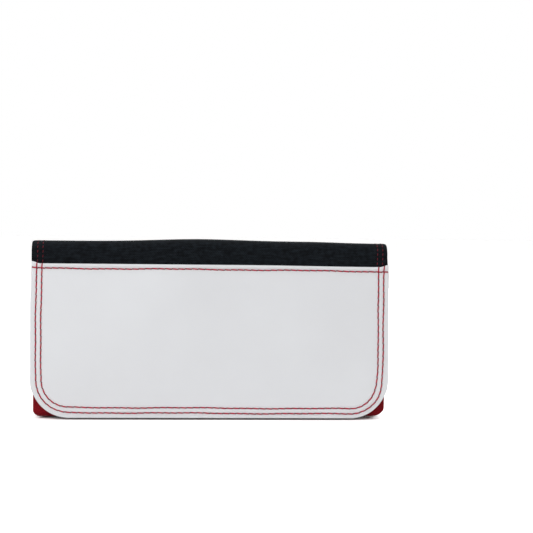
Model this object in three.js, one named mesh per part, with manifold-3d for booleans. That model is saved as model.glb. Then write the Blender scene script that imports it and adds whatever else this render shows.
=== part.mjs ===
// Long flap wallet: a white woven flap on a black rolled band, over a red leather body of three walls
// with two gusseted compartments, a zipped coin pocket and card strips. It stands closed on its bottom.
// Millimetres. +X runs along the width, -Y is the front with the flap, +Z is up, and the origin is at
// the middle of the bottom.

import * as THREE from "three";
import { mergeVertices } from "three/addons/utils/BufferGeometryUtils.js";
import Module from "manifold-3d";

const wasm = await Module();
wasm.setup();

// Overall sizes
const height = 95;
const flapWidth = 190;
const bodyWidth = 188.2;

// Sheet materials
const fabric = 0.7;
const leather = 0.9;
const lining = 0.7;
const flapBoard = 0.9;
const wallBoard = 0.7;
const cardSheet = 0.6;
const ply = 0.1; // gap between glued layers
const creaseGap = 0.3; // gap where one sheet is parted at a crease
const boardInset = 0.8; // a board stops this far inside the edges of its wall

// Flap
const flapFloorGap = 1;
const flapCornerRadius = 20;
const bandFace = 12.5; // black band seen above the white panel
const bandLap = 4; // band tucked under the panel that covers its edge
const bandBackFace = 6; // black band seen above the red centre panel

// Spine roll
const rollRadius = 5;

// Walls
const frontTopDrop = 5.5; // top edges below the top of the roll
const centreTopDrop = 6.5;
const rearTopDrop = 6.5;
const rearCornerRadius = 12;
const bottomRadius = 4;

// Compartments and gussets
const mainGap = 4.4;
const rearGap = 4.6;
const gussetDepth = 10;
const gussetSheet = 0.6;
const gussetFloor = 1; // gap between a gusset's lower end and the top of the bottom fold
const gussetTopDrop = 5; // a gusset's top below the top of its wall

// Magnetic snap
const snapRadius = 7;
const snapHeight = 24; // height of its centre above the floor
const studPlate = 0.6;
const nippleRadius = 2.5;
const nippleLength = 1.2;
const snapClearance = 0.3;
const nippleClearance = 0.8;
const socketHeight = 1.5;
const socketWall = 0.4;
const washerRadius = 6;
const washerEye = 3;

// Coin pocket and its zip
const coinDepth = 1.5;
const pocketSeam = 4; // width of the sewn frame
const zipEndGap = 14.1; // from a gusset's fold to the end of the zip
const zipLength = bodyWidth - 2 * (gussetDepth + zipEndGap);
const zipSlot = 6; // height of the slot that shows the teeth
const tapeWidth = 8; // from the zip's centre line to the tape's outer edge
const tapeSheet = 0.4;
const toothPitch = 2.5;
const toothWidth = 1;
const toothLap = 1; // overlap of facing teeth
const toothTip = 0.6; // gap from a tooth's tip to the facing bead
const bead = 0.8;
const stopWidth = 2;

// Slider and pull tab
const sliderLength = 9;
const sliderPlate = 0.8;
const sliderGap = 0.3;
const railClearance = 0.25;
const bailSpan = 6;
const bailPost = 0.5; // radius
const bailBar = 0.5;
const tabSheet = 0.8;
const tabLength = 15;
const tabWidth = 4.4;
const tabEye = 0.8; // radius
const tabNeck = 1.6; // radius of the tab round its eye
const tabClearance = 0.2;

// Card strips
const cardStrips = 3;
const cardStep = 11;
const cardTopDrop = 11;
const cardSideInset = 0.8;

const arcSteps = 8;

// Depth of each layer, counted back from the outer face of the flap
const depth = {};
let reach = 0;
function layer(name, thickness, gapBehind = ply) {
  depth[name] = [reach, reach + thickness];
  reach += thickness + gapBehind;
}
const flapGap = ply + studPlate + snapClearance + socketHeight + ply;
layer("flapPanel", fabric);
layer("flapCore", flapBoard);
layer("flapLining", lining, flapGap);
layer("frontPanel", leather);
layer("frontBoard", wallBoard);
layer("frontLining", lining, mainGap);
layer("coinFront", leather, 0);
layer("coinSpace", coinDepth, 0);
layer("coinBack", lining);
layer("centreCore", flapBoard);
layer("centrePanel", leather, rearGap);
for (let i = cardStrips; i >= 1; i--) layer(`cardStrip${i}`, cardSheet);
layer("rearLining", lining);
layer("rearBoard", wallBoard);
layer("rearPanel", leather, 0);
const middle = reach / 2;
const toY = (d) => d - middle;

// The slider stands at the right hand stop while the pocket is closed
const sliderRest = zipLength / 2 - creaseGap - sliderLength / 2;

// Heights
const rollCentre = height - rollRadius;
const flapTop = height - bandFace;
const frontTop = height - frontTopDrop;
const centreTop = height - centreTopDrop;
const rearTop = height - rearTopDrop;
const wallFoot = bottomRadius + creaseGap;
const centreFoot = leather + creaseGap;
const zipCentre = centreTop - pocketSeam - creaseGap - tapeWidth;
const slotTop = zipCentre + zipSlot / 2;
const slotFoot = zipCentre - zipSlot / 2;

// Materials
const paint = (color, roughness, metalness = 0) =>
  new THREE.MeshStandardMaterial({ color, roughness, metalness });
const whiteWeave = () => paint(0xdcdde1, 0.85);
const blackCanvas = () => paint(0x14181c, 0.8);
const redLeather = () => paint(0x8a0f1e, 0.5);
const redLining = () => paint(0x8f1420, 0.7);
const greyBoard = () => paint(0x9a948a, 0.95);
const steel = () => paint(0xc9cbce, 0.3, 1);
const magnetBlack = () => paint(0x2b2c2e, 0.5, 0.4);
const redTape = () => paint(0x7a1019, 0.9);

const wallet = new THREE.Group();
wallet.name = "wallet";

function add(name, geometry, material) {
  const mesh = new THREE.Mesh(geometry, material);
  mesh.name = name;
  wallet.add(mesh);
}

// A rectangle in x and z whose two lower and two upper corners may be round
function plate(width, foot, top, lowerRadius = 0, upperRadius = 0) {
  const half = width / 2;
  const shape = new THREE.Shape();
  shape.moveTo(0, foot);
  shape.lineTo(half - lowerRadius, foot);
  if (lowerRadius > 0) shape.absarc(half - lowerRadius, foot + lowerRadius, lowerRadius, -Math.PI / 2, 0);
  else shape.lineTo(half, foot);
  shape.lineTo(half, top - upperRadius);
  if (upperRadius > 0) shape.absarc(half - upperRadius, top - upperRadius, upperRadius, 0, Math.PI / 2);
  else shape.lineTo(half, top);
  shape.lineTo(upperRadius - half, top);
  if (upperRadius > 0) {
    shape.absarc(upperRadius - half, top - upperRadius, upperRadius, Math.PI / 2, Math.PI);
  }
  shape.lineTo(-half, foot + lowerRadius);
  if (lowerRadius > 0) {
    shape.absarc(lowerRadius - half, foot + lowerRadius, lowerRadius, Math.PI, Math.PI * 1.5);
  }
  shape.closePath();
  return shape;
}

function roundHole(shape, x, z, radius) {
  const hole = new THREE.Path();
  hole.absarc(x, z, radius, 0, Math.PI * 2);
  shape.holes.push(hole);
  return shape;
}

// Thickens a shape drawn in x and z through one layer of the depth
function upright(shape, [front, back]) {
  const options = { depth: back - front, bevelEnabled: false, curveSegments: arcSteps };
  const geometry = new THREE.ExtrudeGeometry(shape, options);
  geometry.rotateX(Math.PI / 2);
  geometry.translate(0, toY(back), 0);
  return geometry;
}

// Runs a section drawn in y and z along the width
const yzAlongX = new THREE.Matrix4().makeBasis(
  new THREE.Vector3(0, 1, 0),
  new THREE.Vector3(0, 0, 1),
  new THREE.Vector3(1, 0, 0),
);
function across(shape, width, x = 0) {
  const options = { depth: width, bevelEnabled: false, curveSegments: arcSteps };
  const geometry = new THREE.ExtrudeGeometry(shape, options);
  geometry.translate(0, 0, x - width / 2);
  geometry.applyMatrix4(yzAlongX);
  return geometry;
}

// Turns a closed profile of radius and depth about the snap's axis
function turned(profile, z) {
  const points = profile.map(([radius, d]) => new THREE.Vector2(radius, toY(d)));
  const geometry = new THREE.LatheGeometry([...points, points[0]], 32);
  geometry.translate(0, 0, z);
  return geometry;
}

// Joins closed geometries into one solid
function solid(geometry) {
  const bare = geometry.clone();
  bare.deleteAttribute("normal");
  bare.deleteAttribute("uv");
  const merged = mergeVertices(bare, 1e-4);
  const mesh = new wasm.Mesh({
    numProp: 3,
    vertProperties: new Float32Array(merged.attributes.position.array),
    triVerts: new Uint32Array(merged.index.array),
  });
  return new wasm.Manifold(mesh);
}
function geometryOf(body) {
  const mesh = body.getMesh();
  const geometry = new THREE.BufferGeometry();
  geometry.setAttribute("position", new THREE.BufferAttribute(new Float32Array(mesh.vertProperties), 3));
  geometry.setIndex(new THREE.BufferAttribute(new Uint32Array(mesh.triVerts), 1));
  geometry.computeVertexNormals();
  return geometry;
}
function joined(...geometries) {
  return geometryOf(geometries.map(solid).reduce((whole, piece) => whole.add(piece)));
}

// The spine rolls round two axes: one behind the flap's band, one in front of the band's back end.
// Each crease runs through the roll at half its turn.
const bandFront = depth.flapCore[0];
const bandRear = depth.centreCore[1];
const frontAxis = toY(bandFront) + rollRadius;
const rearAxis = toY(bandRear) - rollRadius;
const bandInner = rollRadius - flapBoard;
const liningOuter = bandInner - ply;
const liningInner = liningOuter - lining;
const halfCut = creaseGap / 2 / rollRadius;
const frontCrease = Math.PI * 0.75;
const rearCrease = Math.PI * 0.25;

// A band between two radii that rolls over both axes, from one angle to another
function rollSection(outer, inner, rearStart, frontEnd) {
  const shape = new THREE.Shape();
  shape.moveTo(rearAxis + outer * Math.cos(rearStart), rollCentre + outer * Math.sin(rearStart));
  shape.absarc(rearAxis, rollCentre, outer, rearStart, Math.PI / 2);
  shape.absarc(frontAxis, rollCentre, outer, Math.PI / 2, frontEnd);
  shape.absarc(frontAxis, rollCentre, inner, frontEnd, Math.PI / 2, true);
  shape.absarc(rearAxis, rollCentre, inner, Math.PI / 2, rearStart, true);
  shape.closePath();
  return shape;
}

// The end of the band below a crease: half the roll's turn, then straight down to its foot
function bandEnd(axis, side, crease, foot) {
  const flat = side > 0 ? 0 : Math.PI;
  const shape = new THREE.Shape();
  shape.moveTo(axis + side * bandInner, foot);
  shape.lineTo(axis + side * rollRadius, foot);
  shape.absarc(axis, rollCentre, rollRadius, flat, crease, side < 0);
  shape.absarc(axis, rollCentre, bandInner, crease, flat, side > 0);
  shape.closePath();
  return shape;
}

function buildFlap() {
  const core = plate(
    flapWidth - 2 * boardInset,
    flapFloorGap + boardInset,
    flapTop - bandLap - creaseGap,
    flapCornerRadius - boardInset,
  );
  const board = roundHole(core, 0, snapHeight, washerRadius + creaseGap);
  const panel = plate(flapWidth, flapFloorGap, flapTop, flapCornerRadius);
  add("flap_panel", upright(panel, depth.flapPanel), whiteWeave());
  add("flap_board", upright(board, depth.flapCore), greyBoard());
  const inside = plate(flapWidth, flapFloorGap, rollCentre - creaseGap, flapCornerRadius);
  add("flap_lining", upright(inside, depth.flapLining), redLining());
  const front = bandEnd(frontAxis, -1, frontCrease + halfCut, flapTop - bandLap);
  add("band_front", across(front, flapWidth), blackCanvas());
}

function buildSpine() {
  const top = rollSection(rollRadius, bandInner, rearCrease + halfCut, frontCrease - halfCut);
  add("band_top", across(top, flapWidth), blackCanvas());
  add("spine_lining", across(rollSection(liningOuter, liningInner, 0, Math.PI), flapWidth), redLining());
}

function buildSnap() {
  const plateFront = depth.flapLining[1] + ply;
  const plateBack = plateFront + studPlate;
  const socketBack = depth.frontPanel[0] - ply;
  const socketFront = socketBack - socketHeight;
  const stud = [
    [0, plateFront],
    [snapRadius, plateFront],
    [snapRadius, plateBack],
    [nippleRadius, plateBack],
    [nippleRadius, plateBack + nippleLength],
    [0, plateBack + nippleLength],
  ];
  add("snap_stud", turned(stud, snapHeight), steel());
  const [washerFront, washerBack] = depth.flapCore;
  add("snap_stud_washer", ring(washerRadius, washerEye, washerFront, washerBack), steel());
  const mouth = nippleRadius + nippleClearance;
  const shell = [
    [mouth, socketFront],
    [snapRadius, socketFront],
    [snapRadius, socketBack],
    [snapRadius - socketWall, socketBack],
    [snapRadius - socketWall, socketFront + socketWall],
    [mouth, socketFront + socketWall],
  ];
  add("snap_socket", turned(shell, snapHeight), steel());
  const magnetRadius = snapRadius - socketWall - ply;
  add("snap_magnet", ring(magnetRadius, mouth, socketFront + socketWall + ply, socketBack), magnetBlack());
  add("snap_socket_washer", ring(washerRadius, washerEye, ...depth.frontBoard), steel());
}

function ring(outer, inner, front, back) {
  const profile = [
    [inner, front],
    [outer, front],
    [outer, back],
    [inner, back],
  ];
  return turned(profile, snapHeight);
}

function buildFrontWall() {
  add("front_panel", upright(plate(bodyWidth, wallFoot, frontTop), depth.frontPanel), redLeather());
  const core = plate(bodyWidth - 2 * boardInset, wallFoot + boardInset, frontTop - boardInset);
  const board = roundHole(core, 0, snapHeight, washerRadius + creaseGap);
  add("front_board", upright(board, depth.frontBoard), greyBoard());
  add("front_lining", upright(plate(bodyWidth, wallFoot, frontTop), depth.frontLining), redLining());
}

function buildCentreWall() {
  const panelTop = height - bandBackFace;
  add("centre_panel", upright(plate(bodyWidth, centreFoot, panelTop), depth.centrePanel), redLeather());
  const bandFoot = panelTop - bandLap;
  const coreTop = bandFoot - creaseGap;
  const core = plate(bodyWidth - 2 * boardInset, centreFoot + boardInset, coreTop);
  add("centre_board", upright(core, depth.centreCore), greyBoard());
  add("band_back", across(bandEnd(rearAxis, 1, rearCrease - halfCut, bandFoot), flapWidth), blackCanvas());
  add("coin_pocket_back", upright(plate(bodyWidth, centreFoot, centreTop), depth.coinBack), redLining());
  const frame = plate(bodyWidth, centreFoot, centreTop);
  const space = plate(bodyWidth - 2 * pocketSeam, centreFoot + pocketSeam, centreTop - pocketSeam);
  frame.holes.push(new THREE.Path(space.getPoints()));
  const frameLayer = [depth.coinSpace[0] + ply, depth.coinSpace[1] - ply];
  add("coin_pocket_frame", upright(frame, frameLayer), redLining());
  add("coin_pocket_front", upright(plate(bodyWidth, centreFoot, slotFoot), depth.coinFront), redLeather());
  add("coin_pocket_header", upright(plate(bodyWidth, slotTop, centreTop), depth.coinFront), redLeather());
}

// A bead along the slot with teeth on one side; side is 1 for the upper row and -1 for the lower
const toothReach = toothTip + toothLap;
const beadEdge = toothTip + toothLap / 2;
function teethRow(side) {
  const count = Math.floor(zipLength / toothPitch);
  const start = (-count * toothPitch) / 2 + (side > 0 ? toothPitch / 2 : 0);
  const shape = new THREE.Shape();
  shape.moveTo(zipLength / 2, zipCentre + side * beadEdge);
  shape.lineTo(zipLength / 2, zipCentre + side * (beadEdge + bead));
  shape.lineTo(-zipLength / 2, zipCentre + side * (beadEdge + bead));
  shape.lineTo(-zipLength / 2, zipCentre + side * beadEdge);
  const rowCount = side > 0 ? count : count - 1;
  for (let i = 0; i < rowCount; i++) {
    const x = start + (i + (side > 0 ? 0 : 1)) * toothPitch;
    const tip = zipCentre + side * (beadEdge - toothReach);
    shape.lineTo(x - toothWidth / 2, zipCentre + side * beadEdge);
    shape.lineTo(x - toothWidth / 2, tip);
    shape.lineTo(x + toothWidth / 2, tip);
    shape.lineTo(x + toothWidth / 2, zipCentre + side * beadEdge);
  }
  shape.closePath();
  return shape;
}

function buildZip() {
  const tapeFront = depth.coinFront[1] + ply;
  const tapeLayer = [tapeFront, tapeFront + tapeSheet];
  for (const [name, side] of [["upper", 1], ["lower", -1]]) {
    add(`zip_teeth_${name}`, upright(teethRow(side), depth.coinFront), steel());
    const inner = zipCentre + side * beadEdge;
    const outer = zipCentre + side * tapeWidth;
    const tape = plate(zipLength, Math.min(inner, outer), Math.max(inner, outer));
    add(`zip_tape_${name}`, upright(tape, tapeLayer), redTape());
  }
  for (const [name, side] of [["left", -1], ["right", 1]]) {
    const centre = side * (zipLength / 2 + creaseGap + stopWidth / 2);
    const half = beadEdge + bead;
    const stop = upright(plate(stopWidth, zipCentre - half, zipCentre + half), depth.coinFront);
    stop.translate(centre, 0, 0);
    add(`zip_stop_${name}`, stop, steel());
  }
}

// Shield shape, drawn in to the width of the teeth at the end that leads when the pocket opens
function sliderOutline(nose, shoulder) {
  const half = sliderLength / 2;
  const shape = new THREE.Shape();
  shape.moveTo(-half, zipCentre - nose);
  shape.lineTo(0, zipCentre - shoulder);
  shape.lineTo(half - shoulder, zipCentre - shoulder);
  shape.absarc(half - shoulder, zipCentre, shoulder, -Math.PI / 2, Math.PI / 2);
  shape.lineTo(0, zipCentre + shoulder);
  shape.lineTo(-half, zipCentre + nose);
  shape.closePath();
  return shape;
}

// Slider: a shield shaped plate on the teeth, two rails in the slot and a bail over the tab's eye
function buildSlider() {
  const plateBack = depth.coinFront[0] - sliderGap;
  const plateFront = plateBack - sliderPlate;
  const railInner = beadEdge + bead + railClearance;
  const railOuter = zipSlot / 2 - railClearance;
  const railBack = depth.coinFront[1] - sliderGap;
  const shield = sliderOutline(railInner, railOuter);
  const pieces = [upright(shield, [plateFront, plateBack])];
  for (const side of [1, -1]) {
    const low = zipCentre + Math.min(side * railInner, side * railOuter);
    const high = zipCentre + Math.max(side * railInner, side * railOuter);
    pieces.push(upright(plate(sliderLength / 2, low, high), [plateBack - ply, railBack]));
  }
  const barBack = plateFront - tabSheet - 2 * tabClearance;
  const barFront = barBack - bailBar;
  for (const side of [1, -1]) {
    const post = new THREE.Shape();
    post.absarc((side * bailSpan) / 2, zipCentre, bailPost, 0, Math.PI * 2);
    pieces.push(upright(post, [barBack - ply, plateFront + ply]));
  }
  const bar = new THREE.Shape();
  bar.absarc(bailSpan / 2, zipCentre, bailPost, -Math.PI / 2, Math.PI / 2);
  bar.absarc(-bailSpan / 2, zipCentre, bailPost, Math.PI / 2, Math.PI * 1.5);
  bar.closePath();
  pieces.push(upright(bar, [barFront, barBack]));
  const slider = joined(...pieces);
  slider.translate(sliderRest, 0, 0);
  add("zip_slider", slider, steel());
  buildTab(plateFront - tabClearance);
}

// Pull tab: hangs by its eye from the bail's left post
function buildTab(back) {
  const x = sliderRest - bailSpan / 2;
  const half = tabWidth / 2;
  const foot = zipCentre - tabLength;
  const shape = new THREE.Shape();
  shape.moveTo(x + half, foot + half);
  shape.lineTo(x + half, zipCentre - 2 * tabNeck);
  shape.lineTo(x + tabNeck, zipCentre);
  shape.absarc(x, zipCentre, tabNeck, 0, Math.PI);
  shape.lineTo(x - half, zipCentre - 2 * tabNeck);
  shape.lineTo(x - half, foot + half);
  shape.absarc(x, foot + half, half, Math.PI, Math.PI * 2);
  shape.closePath();
  roundHole(shape, x, zipCentre, tabEye);
  add("zip_pull_tab", upright(shape, [back - tabSheet, back]), redLeather());
}

function buildRearWall() {
  const outline = plate(bodyWidth, wallFoot, rearTop, 0, rearCornerRadius);
  add("rear_panel", upright(outline, depth.rearPanel), redLeather());
  const inset = bodyWidth - 2 * boardInset;
  const core = plate(inset, wallFoot + boardInset, rearTop - boardInset, 0, rearCornerRadius - boardInset);
  add("rear_board", upright(core, depth.rearBoard), greyBoard());
  add("rear_lining", upright(outline, depth.rearLining), redLining());
  for (let i = 1; i <= cardStrips; i++) {
    const top = rearTop - cardTopDrop - (i - 1) * cardStep;
    const strip = plate(bodyWidth - 2 * cardSideInset, wallFoot, top);
    add(`card_strip_${i}`, upright(strip, depth[`cardStrip${i}`]), redLeather());
  }
}

// Bottom: flat on the floor, rolled up at the front and rear to meet the walls
function buildBottom() {
  const front = toY(depth.frontPanel[0]) + bottomRadius;
  const rear = toY(depth.rearPanel[1]) - bottomRadius;
  const inner = bottomRadius - leather;
  const shape = new THREE.Shape();
  shape.moveTo(front - bottomRadius, bottomRadius);
  shape.absarc(front, bottomRadius, bottomRadius, Math.PI, Math.PI * 1.5);
  shape.absarc(rear, bottomRadius, bottomRadius, -Math.PI / 2, 0);
  shape.absarc(rear, bottomRadius, inner, 0, -Math.PI / 2, true);
  shape.absarc(front, bottomRadius, inner, -Math.PI / 2, -Math.PI, true);
  shape.closePath();
  add("bottom_panel", across(shape, bodyWidth), redLeather());
}

// Gusset: a sheet folded inward, whose two edges lie on the faces of the walls it joins
function gusset(side, front, back, top) {
  const mouth = bodyWidth / 2;
  const fold = mouth - gussetDepth;
  const centre = (front + back) / 2;
  const slope = (back - front) / 2 / gussetDepth;
  const along = gussetSheet * Math.hypot(1, slope);
  const crest = along / slope;
  const shape = new THREE.Shape();
  shape.moveTo(side * mouth, toY(front));
  shape.lineTo(side * mouth, toY(front + along));
  shape.lineTo(side * (fold + crest), toY(centre));
  shape.lineTo(side * mouth, toY(back - along));
  shape.lineTo(side * mouth, toY(back));
  shape.lineTo(side * fold, toY(centre));
  shape.closePath();
  const foot = bottomRadius + gussetFloor;
  const geometry = new THREE.ExtrudeGeometry(shape, { depth: top - foot, bevelEnabled: false });
  geometry.translate(0, 0, foot);
  return geometry;
}

function buildGussets() {
  const mainFront = depth.frontLining[1] + ply;
  const mainBack = depth.coinFront[0] - ply;
  const rearFront = depth.centrePanel[1] + ply;
  const rearBack = depth[`cardStrip${cardStrips}`][0] - ply;
  for (const [name, side] of [["left", -1], ["right", 1]]) {
    const main = gusset(side, mainFront, mainBack, frontTop - gussetTopDrop);
    add(`front_gusset_${name}`, main, redLeather());
    const rear = gusset(side, rearFront, rearBack, rearTop - rearCornerRadius);
    add(`rear_gusset_${name}`, rear, redLeather());
  }
}

buildFlap();
buildSpine();
buildSnap();
buildFrontWall();
buildCentreWall();
buildZip();
buildSlider();
buildRearWall();
buildBottom();
buildGussets();

export default wallet;
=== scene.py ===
import math

import bpy
import numpy as np
from bpy.props import FloatProperty, FloatVectorProperty, PointerProperty
from mathutils import Matrix, Vector


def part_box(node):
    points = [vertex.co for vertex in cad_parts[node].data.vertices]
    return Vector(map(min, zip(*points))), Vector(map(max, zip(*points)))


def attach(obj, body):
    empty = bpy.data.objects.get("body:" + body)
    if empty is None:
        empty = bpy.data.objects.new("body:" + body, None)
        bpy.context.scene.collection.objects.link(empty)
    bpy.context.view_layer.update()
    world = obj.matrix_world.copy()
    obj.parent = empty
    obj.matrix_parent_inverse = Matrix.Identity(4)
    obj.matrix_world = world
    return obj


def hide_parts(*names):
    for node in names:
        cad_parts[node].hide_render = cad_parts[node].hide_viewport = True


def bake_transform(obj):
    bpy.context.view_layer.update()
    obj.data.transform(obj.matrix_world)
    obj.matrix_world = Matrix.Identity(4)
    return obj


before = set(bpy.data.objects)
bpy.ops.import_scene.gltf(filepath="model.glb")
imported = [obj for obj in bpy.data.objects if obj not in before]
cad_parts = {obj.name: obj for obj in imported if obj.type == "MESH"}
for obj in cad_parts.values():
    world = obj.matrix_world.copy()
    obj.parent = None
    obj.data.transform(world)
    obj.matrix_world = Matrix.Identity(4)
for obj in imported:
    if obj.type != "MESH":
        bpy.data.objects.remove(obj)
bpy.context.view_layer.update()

bl_info = {
    "name": "Flap wallet",
    "version": (1, 0, 0),
    "blender": (4, 5, 0),
    "location": "3D View > Sidebar > Wallet",
    "description": "Dresses the wallet's frame in woven cloth, canvas, leather, thread and plated metal",
    "category": "Add Mesh",
}

MM = 0.001
PER_M = 1000.0
FAR = 1e4  # an end that is this far off is no border
PHOTO = 533  # the photograph's side in pixels


# Numbers, lines and grids


def linear(code):
    """An sRGB hex colour as linear red, green and blue, and full alpha."""
    share = np.array([int(code[i:i + 2], 16) for i in (1, 3, 5)]) / 255
    return (*np.where(share <= 0.04045, share / 12.92, ((share + 0.055) / 1.055) ** 2.4), 1.0)


def smooth(low, high, value):
    """0 below low, 1 above high, and the cubic 3s^2 - 2s^3 between."""
    share = np.clip((value - low) / (high - low), 0, 1)
    return share * share * (3 - 2 * share)


def hump(value, width):
    """A bell exp(-(value / width)^2)."""
    return np.exp(-((value / width) ** 2))


def eased(inset, soft):
    """How full a sheet is near its border: 0.3 at the border, 1 from soft inwards, on a quarter circle."""
    return 0.3 + 0.7 * np.sqrt(1 - (1 - np.clip(inset / soft, 0, 1)) ** 2)


def border(inset, width=0.5):
    """1 at the border of a sheet and 0 from width inwards, where its edge is painted and drawn brighter,
    partly as a painted highlight.
    """
    return 1 - smooth(0, width, inset)


def extent(node):
    """Lowest and highest corner of a CAD node at rest, in millimetres."""
    low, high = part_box(node)
    return np.array(low) * PER_M, np.array(high) * PER_M


def spaced(length, marks):
    """Places from 0 to length whose spacing follows the marks (place, spacing): the whole counts of the
    integral of 1 / spacing."""
    fine = np.linspace(0, length, 4001)
    density = 1 / np.interp(fine, *np.transpose(marks))
    count = np.concatenate([[0], np.cumsum((density[1:] + density[:-1]) / 2 * np.diff(fine))])
    return np.interp(np.linspace(0, count[-1], int(np.ceil(count[-1])) + 1), count, fine)


# Marks (place, spacing) of a grid in from a border, in millimetres
EDGE = [(0, 0.07), (0.4, 0.12), (1.0, 0.5), (4, 1.5), (12, 5), (100, 8)]
WALL_EDGE = [(0, 0.07), (0.4, 0.12), (1.0, 0.4), (4, 1.0), (24, 2.5), (100, 8)]


def both_ends(length, marks=EDGE):
    """The marks of one end, repeated from the other end of a length."""
    ends = [(place, step) for place, step in marks if place < length / 2]
    return ends + [(length - place, step) for place, step in reversed(ends)]


def across(half, marks=EDGE):
    """Shares of a half width from -1 to 1, spaced by marks that count in from both edges."""
    inwards = spaced(half, marks)
    return np.concatenate([inwards - half, (half - inwards)[-2::-1]]) / half


def bent_line(*corners, radius=0.0, arc=33):
    """A line through (y, z) corners, its inner corners rounded by arcs of one radius that touch both runs.
    Rows of t, y, z, normal y and normal z; t is the length so far, and the normal is the direction turned a
    quarter to the left, so a line that climbs at the front looks forward."""
    corners = np.array(corners, float)
    runs = np.diff(corners, axis=0)
    runs /= np.linalg.norm(runs, axis=1)[:, None]
    points, ways = [corners[:1]], [runs[:1]]
    for corner, before, after in zip(corners[1:-1], runs[:-1], runs[1:]):
        turn = math.acos(np.clip(before @ after, -1, 1))
        start = corner - before * radius * math.tan(turn / 2)
        side = after - before * (before @ after)
        centre = start + side / np.linalg.norm(side) * radius
        angle = np.linspace(0, turn, arc)[:, None]
        points.append(centre + (start - centre) * np.cos(angle) + before * radius * np.sin(angle))
        ways.append(before * np.cos(angle) + (centre - start) / radius * np.sin(angle))
    points, ways = np.concatenate([*points, corners[-1:]]), np.concatenate([*ways, runs[-1:]])
    length = np.concatenate([[0], np.cumsum(np.linalg.norm(np.diff(points, axis=0), axis=1))])
    return np.column_stack([length, points, -ways[:, 1], ways[:, 0]])


def quads(index):
    """The four-sided faces of a grid of vertex numbers."""
    return np.stack([index[:-1, :-1], index[:-1, 1:], index[1:, 1:], index[1:, :-1]], -1).reshape(-1, 4)


def make_piece(name, points, faces, finish, uv=None, flat=False, **values):
    """A mesh object at the origin from points in millimetres, faces in arrays of one size each, a material,
    a UV place in metres for each point, and named values of each point as attributes."""
    mesh = bpy.data.meshes.new(name)
    mesh.from_pydata((points * MM).tolist(), [], [face for group in faces for face in group.tolist()])
    mesh.polygons.foreach_set("use_smooth", np.full(len(mesh.polygons), not flat))
    if uv is not None:
        corner = np.zeros(len(mesh.loops), np.int32)
        mesh.loops.foreach_get("vertex_index", corner)
        mesh.uv_layers.new(name="cloth").data.foreach_set("uv", uv[corner].astype(np.float32).ravel())
    for key, value in values.items():
        layer = mesh.attributes.new(key, "FLOAT", "POINT")
        layer.data.foreach_set("value", value.astype(np.float32).ravel())
    mesh.materials.append(finish)
    made = bpy.data.objects.new(name, mesh)
    bpy.context.scene.collection.objects.link(made)
    return made


def two_faced(name, outer, inner, finish, uv, edge):
    """A closed sheet from two grids of points: both faces, and a strip round the border."""
    size = outer.shape[0] * outer.shape[1]
    index = np.arange(size).reshape(outer.shape[:2])
    loop = np.concatenate([index[0, :-1], index[:-1, -1], index[-1, :0:-1], index[:0:-1, 0]])
    ahead = np.roll(loop, -1)
    rim = np.stack([ahead, loop, loop + size, ahead + size], -1)
    points = np.concatenate([outer.reshape(-1, 3), inner.reshape(-1, 3)])
    return make_piece(name, points, [quads(index), quads(index)[:, ::-1] + size, rim], finish,
                      np.tile(uv.reshape(-1, 2) * MM, (2, 1)), edge=np.tile(edge.ravel(), 2))


class Sheet:
    """Cloth or leather that follows a line in the (y, z) plane and runs straight across in x.

    A point has x and t, its length along the line. The outer face is the line plus swell(x, t, inset) along
    the normal, and the inner face lies thick + rim(x, t, inset) behind the line. inset is the distance in
    from the border, a box with corner radii at its two ends. Within soft of the border both faces close
    towards half the thickness as a quarter circle does. An open end is cut off square, to meet another
    piece. shift moves the finished points by a function of their place on the line."""

    def __init__(self, line, half, thick, corners=(0, 0), soft=0.3, opens=(False, False),
                 rim=None, swell=None, shift=None):
        self.line, self.half, self.thick, self.corners = line, half, thick, corners
        self.soft, self.opens, self.rim, self.swell, self.shift = soft, opens, rim, swell, shift
        self.length = line[-1, 0]

    def inset(self, x, t, opens=None):
        """Distance in from the border: the signed distance of a box with rounded corners."""
        opens = opens or self.opens
        low = -FAR if opens[0] else 0.0
        high = self.length + FAR if opens[1] else self.length
        radius = np.where(t < self.length / 2, *self.corners)
        over_x = np.abs(x) - self.half + radius
        over_t = np.abs(t - (low + high) / 2) - (high - low) / 2 + radius
        outside = np.hypot(np.maximum(over_x, 0), np.maximum(over_t, 0))
        return radius - outside - np.minimum(np.maximum(over_x, over_t), 0)

    def half_at(self, t):
        """Half the width at t: the whole, less what a rounded corner takes, r - sqrt(r^2 - (r - gap)^2)."""
        half = np.full_like(t, self.half)
        for radius, gap in zip(self.corners, (t, self.length - t)):
            rise = np.clip(radius - gap, 0, radius)
            half -= radius - np.sqrt(radius**2 - rise**2)
        return half

    def face(self, x, t, inner=False):
        """Points of the outer or inner face."""
        inset = self.inset(x, t)
        middle = -self.thick / 2
        if inner:
            level = -self.thick - (self.rim(x, t, inset) if self.rim else 0.0)
        else:
            level = self.swell(x, t, inset) if self.swell else 0.0
        level = middle + (level - middle) * eased(inset, self.soft)
        y, z, normal_y, normal_z = (np.interp(t, self.line[:, 0], column) for column in self.line.T[1:])
        points = np.stack([x, y + normal_y * level, z + normal_z * level], -1)
        return points + self.shift(x, y, z) if self.shift else points

    def normal(self, t):
        """Unit normal of the line at t."""
        along = (np.interp(t, self.line[:, 0], column) for column in self.line.T[3:])
        normal = np.stack([np.zeros_like(t), *along], -1)
        return normal / np.linalg.norm(normal, axis=-1, keepdims=True)

    def piece(self, name, finish, rows, shares):
        """The sheet as a closed mesh on one grid of t and x. Its UV map is x and t in metres, and its
        attribute edge marks the border."""
        t = np.repeat(rows[:, None], len(shares), 1)
        x = shares[None, :] * self.half_at(rows)[:, None]
        edge = border(self.inset(x, t))
        return two_faced(name, self.face(x, t), self.face(x, t, True), finish, np.stack([x, t], -1), edge)


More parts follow.
